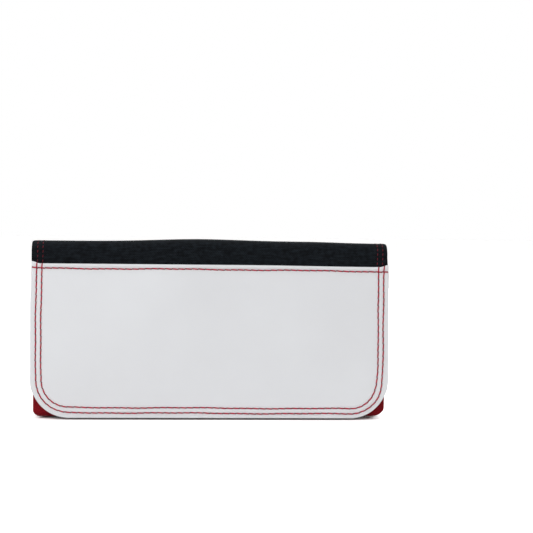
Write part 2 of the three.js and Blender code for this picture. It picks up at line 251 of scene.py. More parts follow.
def row_on(sheet, x, t):
    """A stitch row's points and normals on a sheet, at places x and t."""
    x, t = np.broadcast_arrays(np.asarray(x, float), np.asarray(t, float))
    return sheet.face(x, t), sheet.normal(t)


def u_row(sheet, inset, radius, top, from_end=False):
    """A row down one side, round two corners of the given outer radius and up the other side, inset from the
    border; top is how far along the sheet it starts."""
    bend = radius - inset
    reach = sheet.half - radius
    turn = np.linspace(0, math.pi / 2, 25)
    side = np.linspace(top, radius, 60)[:-1]
    foot = np.linspace(-reach, reach, 120)[1:-1]
    x = np.concatenate([np.full_like(side, -reach - bend), -reach - bend * np.cos(turn), foot,
                        reach + bend * np.sin(turn), np.full_like(side, reach + bend)])
    t = np.concatenate([side, radius - bend * np.sin(turn), np.full_like(foot, inset),
                        radius - bend * np.cos(turn), side[::-1]])
    return row_on(sheet, x, sheet.length - t if from_end else t)


def led_in(line, normals, rise):
    """A row with one more point straight above each of its ends, where it comes from under another piece."""
    above = [line[end] + [0, 0, rise] for end in (0, -1)]
    return (np.concatenate([above[:1], line, above[1:]]),
            np.concatenate([normals[:1], normals, normals[-1:]]))


STATIONS, SIDES = 6, 6  # points along and round a stitch; few, as there are hundreds of stitches
WANDER = ((0.09, 3.7), (0.18, 12.0))  # a row's two slow waves: height, and length over one radian
SLANT = 0.7  # thread radii that a stitch moves aside from one end to the other
LEATHER_SINK = 0.2  # thread radii that a stitch sinks into leather


def stitches(line, normals, pitch, thread, sink=0.0, gap=0.0):
    """Points, walls, caps, UV and depth of the stitches along a line with surface normals.

    Each stitch is a round thread that comes out of one needle hole and goes into the next: over its length u
    its centre stands at thread * (0.3 * sqrt(sin(pi u)) + 0.2 - sink), its radius grows from 0.9 to 1 of
    thread, and it lies a little aslant. The whole row wanders by a sine and a cosine wave. Depth is 0 on top
    of a stitch and 1 in its holes; gap is the share of the pitch between one stitch and the next."""
    run = np.concatenate([[0], np.cumsum(np.linalg.norm(np.diff(line, axis=0), axis=1))])
    count = max(1, round(run[-1] / pitch))
    u = np.linspace(0, 1, STATIONS)
    place = (np.arange(count)[:, None] + gap / 2 + u * (1 - gap)) * run[-1] / count

    def along(values, at):
        return np.stack([np.interp(at, run, values[:, k]) for k in range(3)], -1)

    normal = along(normals, place)
    normal /= np.linalg.norm(normal, axis=-1, keepdims=True)
    way = along(line, np.minimum(place + 0.1, run[-1])) - along(line, np.maximum(place - 0.1, 0))
    way /= np.linalg.norm(way, axis=-1, keepdims=True)
    side = np.cross(way, normal)
    arch = np.sqrt(np.abs(np.sin(np.pi * u)))
    (short, step), (tall, stride) = WANDER
    drift = short * np.sin(place / step) - tall * np.cos(place / stride) + SLANT * thread * (u - 0.5)
    lift = thread * (0.3 * arch + 0.2 - sink)
    centre = along(line, place) + side * drift[..., None] + normal * lift[:, None]
    angle = np.arange(SIDES) * 2 * math.pi / SIDES
    ring = side[:, :, None] * np.cos(angle)[:, None] + normal[:, :, None] * np.sin(angle)[:, None]
    tube = centre[:, :, None] + ring * (thread * (0.9 + 0.1 * arch))[:, None, None]
    index = np.arange(tube.size // 3).reshape(tube.shape[:3])
    ahead = np.roll(index, -1, axis=2)
    walls = np.stack([index[:, :-1], ahead[:, :-1], ahead[:, 1:], index[:, 1:]], -1).reshape(-1, 4)
    caps = np.concatenate([index[:, 0, ::-1], index[:, -1]])
    uv = np.stack(np.broadcast_arrays(place[:, :, None], angle * thread), -1).reshape(-1, 2) * MM
    # Depth also sets the thread's painted shade in its needle holes.
    depth = np.broadcast_to((1 - arch)[None, :, None], tube.shape[:3]).ravel()
    return tube.reshape(-1, 3), walls, caps, uv, depth


def thread_piece(name, rows, dull=0.0, **sizes):
    """All the stitches of several rows (points, normals) in one mesh. dull darkens the thread's tone as
    painted shade where the cloth closes over it."""
    made = [stitches(*row, **sizes) for row in rows]
    first = np.concatenate([[0], np.cumsum([len(row[0]) for row in made])])
    points, uv, depth = (np.concatenate([row[k] for row in made]) for k in (0, 3, 4))
    faces = [np.concatenate([row[k] + start for row, start in zip(made, first)]) for k in (1, 2)]
    return make_piece(name, points, faces, finish_of("thread"), uv, deep=np.maximum(depth, dull))


def turned(name, profile, axis, finish, steps=64):
    """A profile of (radius, y) turned about the line along y through axis (x, z). A profile that starts and
    ends on the axis closes there in fans, and any other is a loop. It runs from the front outwards."""
    solid = profile[0, 0] == 0
    rings = profile[1:-1] if solid else profile[:-1]
    angle = np.linspace(0, 2 * math.pi, steps, endpoint=False)[:, None]
    x, z = axis[0] + rings[:, 0] * np.cos(angle), axis[1] + rings[:, 0] * np.sin(angle)
    points = np.stack([x, np.broadcast_to(rings[:, 1], x.shape), z], -1).reshape(-1, 3)
    index = np.arange(len(points)).reshape(x.shape)
    index = np.concatenate([index, index[:1]])
    if not solid:
        return make_piece(name, points, [quads(np.concatenate([index, index[:, :1]], 1))], finish)
    poles = [(axis[0], profile[0, 1], axis[1]), (axis[0], profile[-1, 1], axis[1])]
    front = np.stack([np.full(steps, len(points)), index[:-1, 0], index[1:, 0]], -1)
    back = np.stack([np.full(steps, len(points) + 1), index[1:, -1], index[:-1, -1]], -1)
    return make_piece(name, np.concatenate([points, poles]), [quads(index), front, back], finish)


# Materials


def add(tree, kind, inputs=None, out=None, **settings):
    """Adds one shader node with its settings, and sets or links its inputs. Returns its output out, by name
    or number, or else the node."""
    node = tree.nodes.new("ShaderNode" + kind)
    for key, value in settings.items():
        setattr(node, key, value)
    for key, value in (inputs or {}).items():
        if isinstance(value, bpy.types.NodeSocket):
            tree.links.new(value, node.inputs[key])
        else:
            node.inputs[key].default_value = value
    return node if out is None else node.outputs[out]


def new_finish(name):
    """An empty node material and its tree."""
    finish = bpy.data.materials.new(name)
    finish.use_nodes = True
    finish.node_tree.nodes.clear()
    return finish, finish.node_tree


WAVE = math.pi / 10  # length of one wave of Wave Texture at scale 1
LOW, HIGH, MIXED = 6, 7, 2  # sockets of a Mix node for colours: its two inputs and its output


def woven(tree, pitch, ragged):
    """A plain weave on the UV map: warp and weft waves of one thread spacing in metres, multiplied, so that
    they rise and sink in turn. Returns a height from -0.25 to 0.25."""
    place = add(tree, "UVMap", out="UV", uv_map="cloth")
    inputs = {"Vector": place, "Scale": WAVE / pitch / 2, "Distortion": ragged, "Detail": 1.0,
              "Detail Scale": 0.6}
    waves = [add(tree, "TexWave", inputs, "Fac", wave_type="BANDS", bands_direction=axis) for axis in "XY"]
    over, under = (add(tree, "Math", {0: wave, 1: 0.5}, 0, operation="SUBTRACT") for wave in waves)
    return add(tree, "Math", {0: over, 1: under}, 0, operation="MULTIPLY")


def polyester_weave(tree, look):
    """Woven polyester, calendered and coated white. It looks smooth, with a faint fine weave close to and a
    slow drift of tone along the cloth."""
    place = add(tree, "TexCoord", out="Object")
    drift = add(tree, "TexNoise", {"Vector": place, "Scale": 1 / (50 * MM), "Detail": 2.0}, "Fac")
    weave = woven(tree, look.white_thread, 0.6)
    # The weave also sets the tone: painted shade where the threads sink and painted light where they rise.
    tone = add(tree, "Math", {0: weave, 1: 0.5, 2: drift}, 0, operation="MULTIPLY_ADD")
    dyed = add(tree, "Mix", {0: tone, LOW: look.white_low, HIGH: look.white_high}, MIXED, data_type="RGBA")
    bump = add(tree, "Bump", {"Height": weave, "Strength": 0.4, "Distance": 0.06 * MM}, "Normal")
    return {"Base Color": dyed, "Roughness": 0.62, "Normal": bump, "Sheen Weight": 0.05,
            "Specular IOR Level": 0.25}


def cotton_canvas(tree, look):
    """Cotton canvas, dyed black and left matt. Its threads show as small checks, paler where they rise as
    painted light and darker where they sink as painted shade, with slubs along the width and a dusty bloom."""
    place = add(tree, "TexCoord", out="Object")
    dust = add(tree, "TexNoise", {"Vector": place, "Scale": 1 / (2 * MM), "Detail": 4.0}, "Fac")
    spread = add(tree, "UVMap", out="UV", uv_map="cloth")
    spread = add(tree, "Mapping", {"Vector": spread, "Scale": (1 / (6 * MM), 1 / (0.7 * MM), 1)}, "Vector")
    slub = add(tree, "TexNoise", {"Vector": spread, "Scale": 1.0, "Detail": 2.0}, "Fac")
    weave = woven(tree, look.canvas_thread, 1.6)
    tone = add(tree, "Math", {0: dust, 1: slub}, 0, operation="ADD")
    tone = add(tree, "Math", {0: tone, 1: 2.0, 2: -1.6}, 0, operation="MULTIPLY_ADD")
    # The weave sets the tone: painted light where the threads rise and painted shade where they sink.
    tone = add(tree, "Math", {0: weave, 1: 1.6, 2: tone}, 0, operation="MULTIPLY_ADD")
    dyed = add(tree, "Mix", {0: tone, LOW: look.canvas_low, HIGH: look.canvas_high}, MIXED, data_type="RGBA")
    height = add(tree, "Math", {0: slub, 1: 0.5, 2: weave}, 0, operation="MULTIPLY_ADD")
    bump = add(tree, "Bump", {"Height": height, "Strength": 0.7, "Distance": 0.25 * MM}, "Normal")
    return {"Base Color": dyed, "Roughness": 0.9, "Normal": bump, "Sheen Weight": 0.03,
            "Sheen Roughness": 0.5, "Specular IOR Level": 0.1}


def grained_leather(tree, low, high, painted, cell, rough, depth):
    """Cowhide, dyed through and plated with a grain: raised pebbles of the width cell with creases between
    them darkened as painted shade, a cloudy tone, and edges that are painted smooth and drawn a little
    brighter, partly as a painted highlight."""
    place = add(tree, "TexCoord", out="Object")
    warp = add(tree, "TexNoise", {"Vector": place, "Scale": 0.3 / cell, "Detail": 2.0}, "Color")
    bent = add(tree, "VectorMath", {0: warp, 1: (cell, cell, cell), 2: place}, "Vector",
               operation="MULTIPLY_ADD")
    creases = add(tree, "TexVoronoi", {"Vector": bent, "Scale": 1 / cell, "Randomness": 0.95}, "Distance",
                  feature="DISTANCE_TO_EDGE")
    pebble = add(tree, "MapRange", {"Value": creases, "From Max": 0.22}, "Result",
                 interpolation_type="SMOOTHSTEP")
    cloud = add(tree, "TexNoise", {"Vector": place, "Scale": 1 / (13 * MM), "Detail": 5.0,
                                   "Roughness": 0.6}, "Fac")
    tone = add(tree, "Math", {0: cloud, 1: 0.5, 2: 0.03}, 0, operation="MULTIPLY_ADD")
    # Painted shade: the creases between the pebbles are darker.
    tone = add(tree, "Math", {0: pebble, 1: 0.35, 2: tone}, 0, operation="MULTIPLY_ADD")
    dyed = add(tree, "Mix", {0: tone, LOW: low, HIGH: high}, MIXED, data_type="RGBA")
    # The painted edge is brighter: edge paint, and partly a painted highlight along the rounded borders.
    edge = add(tree, "Attribute", out="Fac", attribute_name="edge")
    edge = add(tree, "Math", {0: edge, 1: 0.7}, 0, operation="MULTIPLY")
    dyed = add(tree, "Mix", {0: edge, LOW: dyed, HIGH: painted}, MIXED, data_type="RGBA")
    gloss = add(tree, "MapRange", {"Value": cloud, "To Min": rough - 0.05, "To Max": rough + 0.05}, "Result")
    bump = add(tree, "Bump", {"Height": pebble, "Strength": 0.5, "Distance": depth}, "Normal")
    return {"Base Color": dyed, "Roughness": gloss, "Normal": bump, "Specular IOR Level": 0.05}


def sewing_thread(tree, look):
    """Spun polyester sewing thread, dyed red. The twist shows as slanting plies, darker in their grooves as
    painted shade, and the thread is darker where it goes down into its needle holes, also painted shade."""
    place = add(tree, "UVMap", out="UV", uv_map="cloth")
    slant = add(tree, "Mapping", {"Vector": place, "Rotation": (0, 0, 0.9)}, "Vector")
    twist = add(tree, "TexWave", {"Vector": slant, "Scale": WAVE / (0.4 * MM), "Distortion": 0.5}, "Fac",
                wave_type="BANDS", bands_direction="X")
    world = add(tree, "TexCoord", out="Object")
    fade = add(tree, "TexNoise", {"Vector": world, "Scale": 1 / (3 * MM), "Detail": 2.0}, "Fac")
    # The twist sets the tone: painted shade in the grooves between the plies.
    tone = add(tree, "Math", {0: twist, 1: 0.35, 2: fade}, 0, operation="MULTIPLY_ADD")
    dyed = add(tree, "Mix", {0: tone, LOW: look.thread_low, HIGH: look.thread_high}, MIXED, data_type="RGBA")
    # Painted shade: the thread darkens where it dives into its needle holes and where the canvas closes over
    # it.
    deep = add(tree, "Attribute", out="Fac", attribute_name="deep")
    dyed = add(tree, "Mix", {0: deep, LOW: dyed, HIGH: look.thread_painted_shade}, MIXED, data_type="RGBA")
    bump = add(tree, "Bump", {"Height": twist, "Strength": 0.5, "Distance": 0.05 * MM}, "Normal")
    return {"Base Color": dyed, "Roughness": 0.6, "Normal": bump, "Sheen Weight": 0.03,
            "Specular IOR Level": 0.15}


def woven_tape(tree, look):
    """Polyester zip tape, woven narrow and dyed red: fine ribs, matt. Its tone is darker between its
    threads as painted shade.
    """
    weave = woven(tree, 0.6 * MM, 0.4)
    # The weave sets the tone: painted shade between the threads.
    tone = add(tree, "Math", {0: weave, 1: 2.0, 2: 0.5}, 0, operation="MULTIPLY_ADD")
    dyed = add(tree, "Mix", {0: tone, LOW: look.tape_low, HIGH: look.tape_high}, MIXED, data_type="RGBA")
    bump = add(tree, "Bump", {"Height": weave, "Strength": 0.6, "Distance": 0.15 * MM}, "Normal")
    return {"Base Color": dyed, "Roughness": 0.85, "Normal": bump, "Specular IOR Level": 0.15}


def plated_metal(tree, look, smoothest, roughest):
    """Nickel plated metal: bright where it was polished before plating and satin where it was tumbled, with
    faint hairlines and handling marks."""
    place = add(tree, "TexCoord", out="Object")
    thin = add(tree, "Mapping", {"Vector": place, "Scale": (1.0, 1.0, 9.0)}, "Vector")
    hairs = add(tree, "TexNoise", {"Vector": thin, "Scale": 1 / (1.2 * MM), "Detail": 3.0}, "Fac")
    marks = add(tree, "TexNoise", {"Vector": place, "Scale": 1 / (4 * MM), "Detail": 4.0}, "Fac")
    rough = add(tree, "MapRange", {"Value": marks, "From Min": 0.35, "From Max": 0.7, "To Min": smoothest,
                                   "To Max": roughest}, "Result")
    tint = add(tree, "Mix", {0: marks, LOW: look.metal_low, HIGH: look.metal_high}, MIXED, data_type="RGBA")
    bump = add(tree, "Bump", {"Height": hairs, "Strength": 0.12, "Distance": 0.04 * MM}, "Normal")
    return {"Base Color": tint, "Metallic": 1.0, "Roughness": rough, "Normal": bump}


def pressed_magnet(tree, look):
    """Ferrite magnet, pressed from powder: dark grey, grainy and dull."""
    place = add(tree, "TexCoord", out="Object")
    grit = add(tree, "TexNoise", {"Vector": place, "Scale": 1 / (0.4 * MM), "Detail": 4.0}, "Fac")
    grey = add(tree, "Mix", {0: grit, LOW: look.magnet_low, HIGH: look.magnet_high}, MIXED, data_type="RGBA")
    bump = add(tree, "Bump", {"Height": grit, "Strength": 0.4, "Distance": 0.06 * MM}, "Normal")
    return {"Base Color": grey, "Metallic": 0.2, "Roughness": 0.6, "Normal": bump}


def fibre_board(tree, look):
    """Grey board, pulped and rolled: speckled with fibres, dry and matt."""
    place = add(tree, "TexCoord", out="Object")
    speck = add(tree, "TexNoise", {"Vector": place, "Scale": 1 / (1.5 * MM), "Detail": 6.0}, "Fac")
    grey = add(tree, "Mix", {0: speck, LOW: look.board_low, HIGH: look.board_high}, MIXED, data_type="RGBA")
    bump = add(tree, "Bump", {"Height": speck, "Strength": 0.3, "Distance": 0.1 * MM}, "Normal")
    return {"Base Color": grey, "Roughness": 0.92, "Normal": bump}


MAKERS = {
    "cloth": ("Polyester plain weave, coated white", polyester_weave),
    "canvas": ("Cotton canvas, dyed black", cotton_canvas),
    "leather": ("Cowhide, dyed red and plated with a fine grain", lambda tree, look: grained_leather(
        tree, look.leather_low, look.leather_high, look.leather_edge_and_highlight, look.leather_grain,
        rough=0.5, depth=0.2 * MM)),
    "lining": ("Split lining leather, dyed red", lambda tree, look: grained_leather(
        tree, look.lining_low, look.lining_high, look.leather_edge_and_highlight, 0.7 * look.leather_grain,
        rough=0.66, depth=0.1 * MM)),
    "thread": ("Polyester sewing thread, spun and dyed red", sewing_thread),
    "tape": ("Polyester zip tape, woven and dyed red", woven_tape),
    "metal": ("Zinc casting, polished and nickel plated",
              lambda tree, look: plated_metal(tree, look, 0.14, 0.34)),
    "teeth": ("Zip teeth, stamped, tumbled and nickel plated",
              lambda tree, look: plated_metal(tree, look, 0.4, 0.55)),
    "magnet": ("Ferrite magnet, pressed", pressed_magnet),
    "board": ("Fibre board, rolled", fibre_board),
}
FINISHES = {}


def finish_of(kind):
    """The material of that kind, made once: what its maker returns goes into one Principled shader."""
    if kind not in FINISHES:
        name, maker = MAKERS[kind]
        finish, tree = new_finish(name)
        shader = add(tree, "BsdfPrincipled", maker(tree, bpy.context.scene.wallet_finishes), "BSDF")
        add(tree, "OutputMaterial", {"Surface": shader})
        FINISHES[kind] = finish
    return FINISHES[kind]


def stands_for(made, kind, *nodes):
    """Hides the CAD nodes of a piece, which stands in their place."""
    if nodes:
        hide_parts(*nodes)
    return made


def sheet_piece(name, sheet, kind, *nodes, rows=None, columns=EDGE):
    """A sheet as a piece with its finish, in place of its CAD nodes. rows and columns are the marks
    that space its grid, close at every border unless they say otherwise."""
    rows = spaced(sheet.length, rows or both_ends(sheet.length))
    return stands_for(sheet.piece(name, finish_of(kind), rows, across(sheet.half, columns)), kind, *nodes)


def plate(node, kind):
    """Gives a CAD node that stays its finish."""
    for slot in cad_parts[node].material_slots:
        slot.material = finish_of(kind)


# Settings


def length(label, what, value):
    """A size property in metres."""
    return FloatProperty(name=label, description=what, default=value, unit="LENGTH", subtype="DISTANCE",
                         precision=5)


def turn(label, what, degrees):
    """An angle property."""
    return FloatProperty(name=label, description=what, default=math.radians(degrees), subtype="ANGLE")


def power(label, what, watts):
    """A lamp's power in watts."""
    return FloatProperty(name=label, description=what, default=watts, unit="POWER")


def colour(label, what, code):
    """A colour property from an sRGB hex value."""
    return FloatVectorProperty(name=label, description=what, default=linear(code), subtype="COLOR", size=4,
                               min=0.0, max=1.0)


class WalletFlapSettings(bpy.types.PropertyGroup):
    """Sizes of the flap, its band and its stitching."""

    corner: length("Corner radius", "Radius of the flap's lower corners", 0.02)
    crown: length("Crown", "How far the cloth stands out at the middle of the flap", 0.0004)
    outer_row: length("Outer stitch row", "From the flap's edge to the outer row", 0.0026)
    inner_row: length("Inner stitch row", "From the flap's edge to the inner row", 0.0054)
    top_row: length("Top stitch row", "From the cloth's top edge to its row", 0.0025)
    pitch: length("Stitch length", "Length of one stitch", 0.0035)
    thread: length("Thread radius", "Radius of the sewing thread", 0.00034)
    valley: length("Stitch valley", "How deep a row pulls the cloth in", 0.00012)
    puff: length("Puff", "How far the cloth rises between the two rows", 0.0001)
    slack: length("Slack", "How far the cloth waves inside its rows", 0.00006)
    hem: length("Hem", "How far the turned top edge stands out", 0.0004)
    lap: length("Lap", "How far the cloth's top edge climbs at its left", 0.00045)
    drop: length("Drop", "How far the cloth's top edge stays under the band's foot line", 0.00017)
    flare: length("Flare", "How far the cloth's top corners climb", 0.0011)
    bow: length("Bow", "How far the spine rises at the middle", 0.0015)
    tilt: length("Tilt", "How far the spine rises right of its middle", 0.00058)
    sag: length("Sag", "How far the spine's right end falls again", 0.00062)
    settle: length("Settle", "How far the whole spine lies under the straight frame's", 0.00038)
    step: length("Row step", "How far the rows step in above the right lower corner", 0.0007)
    slope: length("Row slope", "How far the rows along the foot sink at the right", 0.0003)
    band_pitch: length("Band stitch length", "Length of one stitch on the canvas", 0.0025)
    band_thread: length("Band thread radius", "Radius of the thread on the canvas", 0.00024)


class WalletBodySettings(bpy.types.PropertyGroup):
    """Sizes of the red body's soft edges, seams and snap."""

    left_lift: length("Left fold lift", "How far the bottom fold's left end stands off the floor", 0.0007)
    right_lift: length("Right fold lift", "How far the bottom fold's right end stands off the floor", 0.001)
    left_round: length("Left fold corner", "Radius of the bottom fold's left end", 0.0038)
    right_round: length("Right fold corner", "Radius of the bottom fold's right end", 0.0064)
    rear_corner: length("Rear corner radius", "Radius of the rear wall's upper corners", 0.012)
    seam: length("Seam", "From an edge of the body to its stitch row", 0.0028)
    seam_pitch: length("Seam stitch length", "Length of one stitch on the body", 0.003)
    seam_thread: length("Seam thread radius", "Radius of the body's thread", 0.00026)
    stud_plate: length("Stud plate", "Thickness of the snap's stud plate", 0.0006)
    stud_nipple: length("Stud nipple radius", "Radius of the stud's nipple", 0.0025)
    stud_edge: length("Stud edge", "Radius of the stud's rounded edges", 0.00025)
    socket_mouth: length("Socket mouth radius", "Radius of the socket's hole", 0.0033)
    socket_wall: length("Socket wall", "Thickness of the socket's shell", 0.0004)
    socket_edge: length("Socket edge", "Radius of the socket's rounded edges", 0.00019)


class WalletFinishes(bpy.types.PropertyGroup):
    """Colours and thread or grain sizes of the materials."""

    white_low: colour("Cloth, low", "Darkest tone of the white cloth", "#DCDDE0")
    white_high: colour("Cloth, high", "Brightest tone of the white cloth", "#E6E8EB")
    white_thread: length("Cloth thread", "Thread spacing of the white cloth", 0.00045)
    canvas_low: colour("Canvas, low", "Darkest tone of the canvas", "#030508")
    canvas_high: colour("Canvas, high", "Brightest tone of the canvas", "#181D22")
    canvas_thread: length("Canvas thread", "Thread spacing of the canvas", 0.0006)
    leather_low: colour("Leather, low", "Darkest tone of the body's leather", "#620E18")
    leather_high: colour("Leather, high", "Brightest tone of the body's leather", "#991823")
    # Edge colour: edge paint, with its brightness partly a painted highlight.
    leather_edge_and_highlight: colour("Leather edge", "Painted edges of the leather", "#A21A25")
    # Real pebbles of about 0.6 mm are finer than a pixel, so the grain is drawn coarser.
    leather_grain: length("Leather grain", "Width of one pebble of the leather's grain", 0.0014)
    lining_low: colour("Lining, low", "Darkest tone of the lining", "#74141D")
    lining_high: colour("Lining, high", "Brightest tone of the lining", "#9E1E28")
    # Painted shade: the thread's low tone in its grooves, and its darkest tone in needle holes and under the
    # canvas, stand in for shade.
    thread_low: colour("Thread, low", "Thread in its grooves", "#8C1428")
    thread_high: colour("Thread, high", "Thread on its plies", "#BE2A40")
    thread_painted_shade: colour("Thread, deep", "Thread in its needle holes", "#4A0A18")
    # Painted shade: the tape's tone is darker between its threads.
    tape_low: colour("Tape, low", "Zip tape between its threads", "#5E0F17")
    tape_high: colour("Tape, high", "Zip tape on its threads", "#8E1923")
    metal_low: colour("Metal, low", "Handled places of the plating", "#BFBCB6")
    metal_high: colour("Metal, high", "Clean places of the plating", "#DAD8D3")
    magnet_low: colour("Magnet, low", "Darkest tone of the magnet", "#1C1C1F")
    magnet_high: colour("Magnet, high", "Brightest tone of the magnet", "#3B3B3F")
    board_low: colour("Board, low", "Darkest tone of the board", "#7E786D")
    board_high: colour("Board, high", "Brightest tone of the board", "#A8A194")


class WalletStageSettings(bpy.types.PropertyGroup):
    """The camera, the lamps and the floor."""

    distance: length("Camera distance", "From the middle of the flap", 0.8)
    aim: length("Camera aim", "Height of the middle of the flap", 0.047)
    azimuth: turn("Azimuth", "Camera's side step, right of the front", -1.8775)
    elevation: turn("Elevation", "Camera's height above the middle of the flap", 5.0)
    yaw: turn("Yaw", "Turn of the camera to the right", 3.9725)
    pitch: turn("Pitch", "Tip of the camera upwards", -2.4794)
    roll: turn("Roll", "Roll of the camera", 0.6797)
    focal: FloatProperty(name="Focal length in pixels", description="In pixels of the photograph",
                         default=1502.48)
    ambient: FloatProperty(name="Ambient", description="Even light from all round", default=0.4)
    key: power("Key", "Soft lamp at the left front", 5.3)
    fill: power("Fill", "Soft lamp at the right front", 1.1)
    top: power("Top", "Soft lamp overhead", 5.5)
    back: power("Back", "Soft lamp behind", 4.0)
    floor: colour("Floor", "Colour of the floor", "#F4F3F2")
    contact: length("Contact shadow", "Reach of the shadow where the object meets the floor", 0.006)


# Places and sheets that more than one operator reads

# Millimetres from the middle or up from the floor; a pair is where a change starts and where it is whole
HUMP = (-5.0, 33.0)  # middle and width of the spine's hump
CLIMB = (0.0, 58.5)  # the spine climbs to the right
FALL = (49.7, 88.7)  # its right end falls again
ROLLED = (84.0, 94.0)  # heights over which the spine gives way
LAPPED = (76.0, 82.0)  # heights over which its left end draws in
BARE = (80.5, 83.0)  # heights over which the band comes out from under the cloth
UPPER = (83.0, 88.0)  # heights over which its right end draws in further
ENDS = 80.0  # where the flap's ends begin to draw in
LEFT_IN, LEFT_OUT = 0.1, 0.35  # how far the left end draws in, and how far the bare band stands out there
RIGHT_IN, RIGHT_UPPER = 0.2, 0.25  # how far the bare band's right end draws in, and again higher up
BAND_CORNERS = ((-1, 1.0), (1, 1.3))  # corner radius of the band's left and right end
BAND_MARGIN = 0.4  # from the end of the band's solid to its canvas
BAND_STEP = 0.35  # how much further in the stitch rows run on the band
LINING_MARGIN = 0.9  # how much narrower the linings are under the band
NARROWED = (79.0, 82.4)  # heights over which the flap's lining narrows to that
LINING_RISE = 0.25  # how far the flap's lining reaches up past its solid
LAP = (20.0, 85.0)  # the climb of the cloth's top edge ends to the right
LAP_FROM = 55.0  # height from which the cloth climbs
FLARED = (4.5, 0.3)  # a corner of the cloth climbs, in from the side
FLARE_DEEP = 3.5  # how far below the top that climb starts
CLOTH_LEFT, CLOTH_RIGHT = 0.25, 0.3  # how far the cloth's sides draw in
CLOTH_FROM, CLOTH_WHOLE = 64.0, 1.0  # height from which they draw in, and how far below the top it is whole
MARGIN = 2.4  # width of the flap outside its outer stitch row
SPREAD = 0.4  # how far that margin stands out
SPREAD_LEFT, SPREAD_RIGHT = (60.0, 76.0), (15.0, 62.0)  # heights over which it stands out no more
STEPPED = (19.0, 7.0)  # middle and width of the step in the stitch rows, in height
FOOT = (5.0, 20.0)  # heights over which a row is no longer along the foot
VALLEY, PUFF = 0.55, 0.9  # width of a stitch row's valley, and of the rise between two rows
SLACK_X, SLACK_T = (17.0, 0.6), (13.0, 0.3)  # length over one radian and start of the slack's waves
SLACKENED = (7.0, 14.0)  # the slack grows, in from the border
HEMMED = (0.9, 2.2)  # the hem thins, down from the top edge
FOLD_LIFTED = (30.0, 9.0)  # the fold lifts off the floor, in from its ends
FOLD_FADED = (1.0, 9.0)  # heights over which the fold's lift dies out
FOLD_SHARP = 8  # power of x by which the fold's rounding is kept to its ends
RIM = (0.35, 0.7)  # a rim thins, in from the border
RIM_RUN = 0.5  # length along the sheet over which a rim comes and goes
RIM_LAP = 0.2  # how far the walls' rims reach into the bottom's roll
BOARD_LAP = 0.1  # how far below the top of its board the flap's rim begins
CLOSED = 0.04  # gap that is left where a rim meets its neighbour
WALL_RIM = 0.42  # how far a wall's leather turns in at its border
CLOTH_SOFT, WALL_SOFT, STRIP_SOFT = 0.35, 0.4, 0.28  # width of the rounded border
TAPE_SOFT, BOARD_SOFT, BOARD_CORNER = 0.18, 0.1, 2.5  # the same of tape and board, and the board's corner


def spine_rise(x, y, z):
    """How the soft spine stands off the straight frame: a hump left of the middle, a climb to the right that
    falls again at its end, and corners that fall away as quarter circles, growing from nothing below to
    whole on top. Above the cloth its left end stands out and its right end draws in, more so higher up."""
    flap = bpy.context.scene.wallet_flap
    half = extent("band_top")[1][0]
    lift = flap.bow * hump(x - HUMP[0], HUMP[1]) + flap.tilt * smooth(*CLIMB, x)
    lift = (lift - flap.sag * smooth(*FALL, x) - flap.settle) * PER_M
    for side, radius in BAND_CORNERS:
        over = np.clip(side * x - (half - BAND_MARGIN - radius), 0, radius)
        lift = lift - (radius - np.sqrt(np.maximum(radius**2 - over**2, 0)))
    left, right = (smooth(half - MARGIN, half - BAND_MARGIN, side * x) for side in (-1, 1))
    bare = smooth(*BARE, z)
    drawn = LEFT_IN * smooth(ENDS, half, -x) * smooth(*LAPPED, z) - LEFT_OUT * left * bare
    drawn = drawn - right * (RIGHT_IN * bare + RIGHT_UPPER * smooth(*UPPER, z))
    return np.stack([drawn, 0 * drawn, lift * smooth(*ROLLED, z)], -1)


def lining_rise(x, y, z):
    """The spine's rise for the flap's lining, which narrows as it goes under the band."""
    narrow = -LINING_MARGIN * x / extent("flap_panel")[1][0] * smooth(*NARROWED, z)
    return spine_rise(x, y, z) + np.stack([narrow + side_spread(x, z), 0 * narrow, 0 * narrow], -1)


def cloth_rise(x, y, z):
    """How the white cloth's top edge runs: it climbs a little towards the left, its two corners climb
    further over the band, and its sides draw in there."""
    flap = bpy.context.scene.wallet_flap
    half, _, top = extent("flap_panel")[1]
    climb = (flap.lap * (1 - smooth(*LAP, x)) - flap.drop) * PER_M * smooth(LAP_FROM, top, z)
    flare = smooth(half - FLARED[0], half - FLARED[1], np.abs(x)) * smooth(top - FLARE_DEEP, top, z)
    left, right = (smooth(ENDS, half, side * x) for side in (-1, 1))
    drawn = (CLOTH_LEFT * left - CLOTH_RIGHT * right) * smooth(CLOTH_FROM, top - CLOTH_WHOLE, z)
    return np.stack([drawn + side_spread(x, z), 0 * drawn, climb + flap.flare * PER_M * flare], -1)


def side_spread(x, z):
    """How far the flap's sides stand out past their outer stitch row: on the left from below the band, and
    on the right growing towards the foot."""
    half = extent("flap_panel")[1][0]
    left = smooth(half - MARGIN, half, -x) * (1 - smooth(*SPREAD_LEFT, z))
    right = smooth(half - MARGIN, half, x) * (1 - smooth(*SPREAD_RIGHT, z))
    return SPREAD * (right - left)


def guided(line, normals):
    """A row of the flap as it was guided by hand: it steps in above the right lower corner, and along the
    foot it sinks towards the right."""
    flap = bpy.context.scene.wallet_flap
    x, _, z = line.T
    aside = flap.step * PER_M * hump(z - STEPPED[0], STEPPED[1]) * (x > 0)
    down = flap.slope * PER_M * x / extent("flap_panel")[1][0] * (1 - smooth(*FOOT, z))
    return line - np.stack([aside, 0 * aside, down], -1), normals


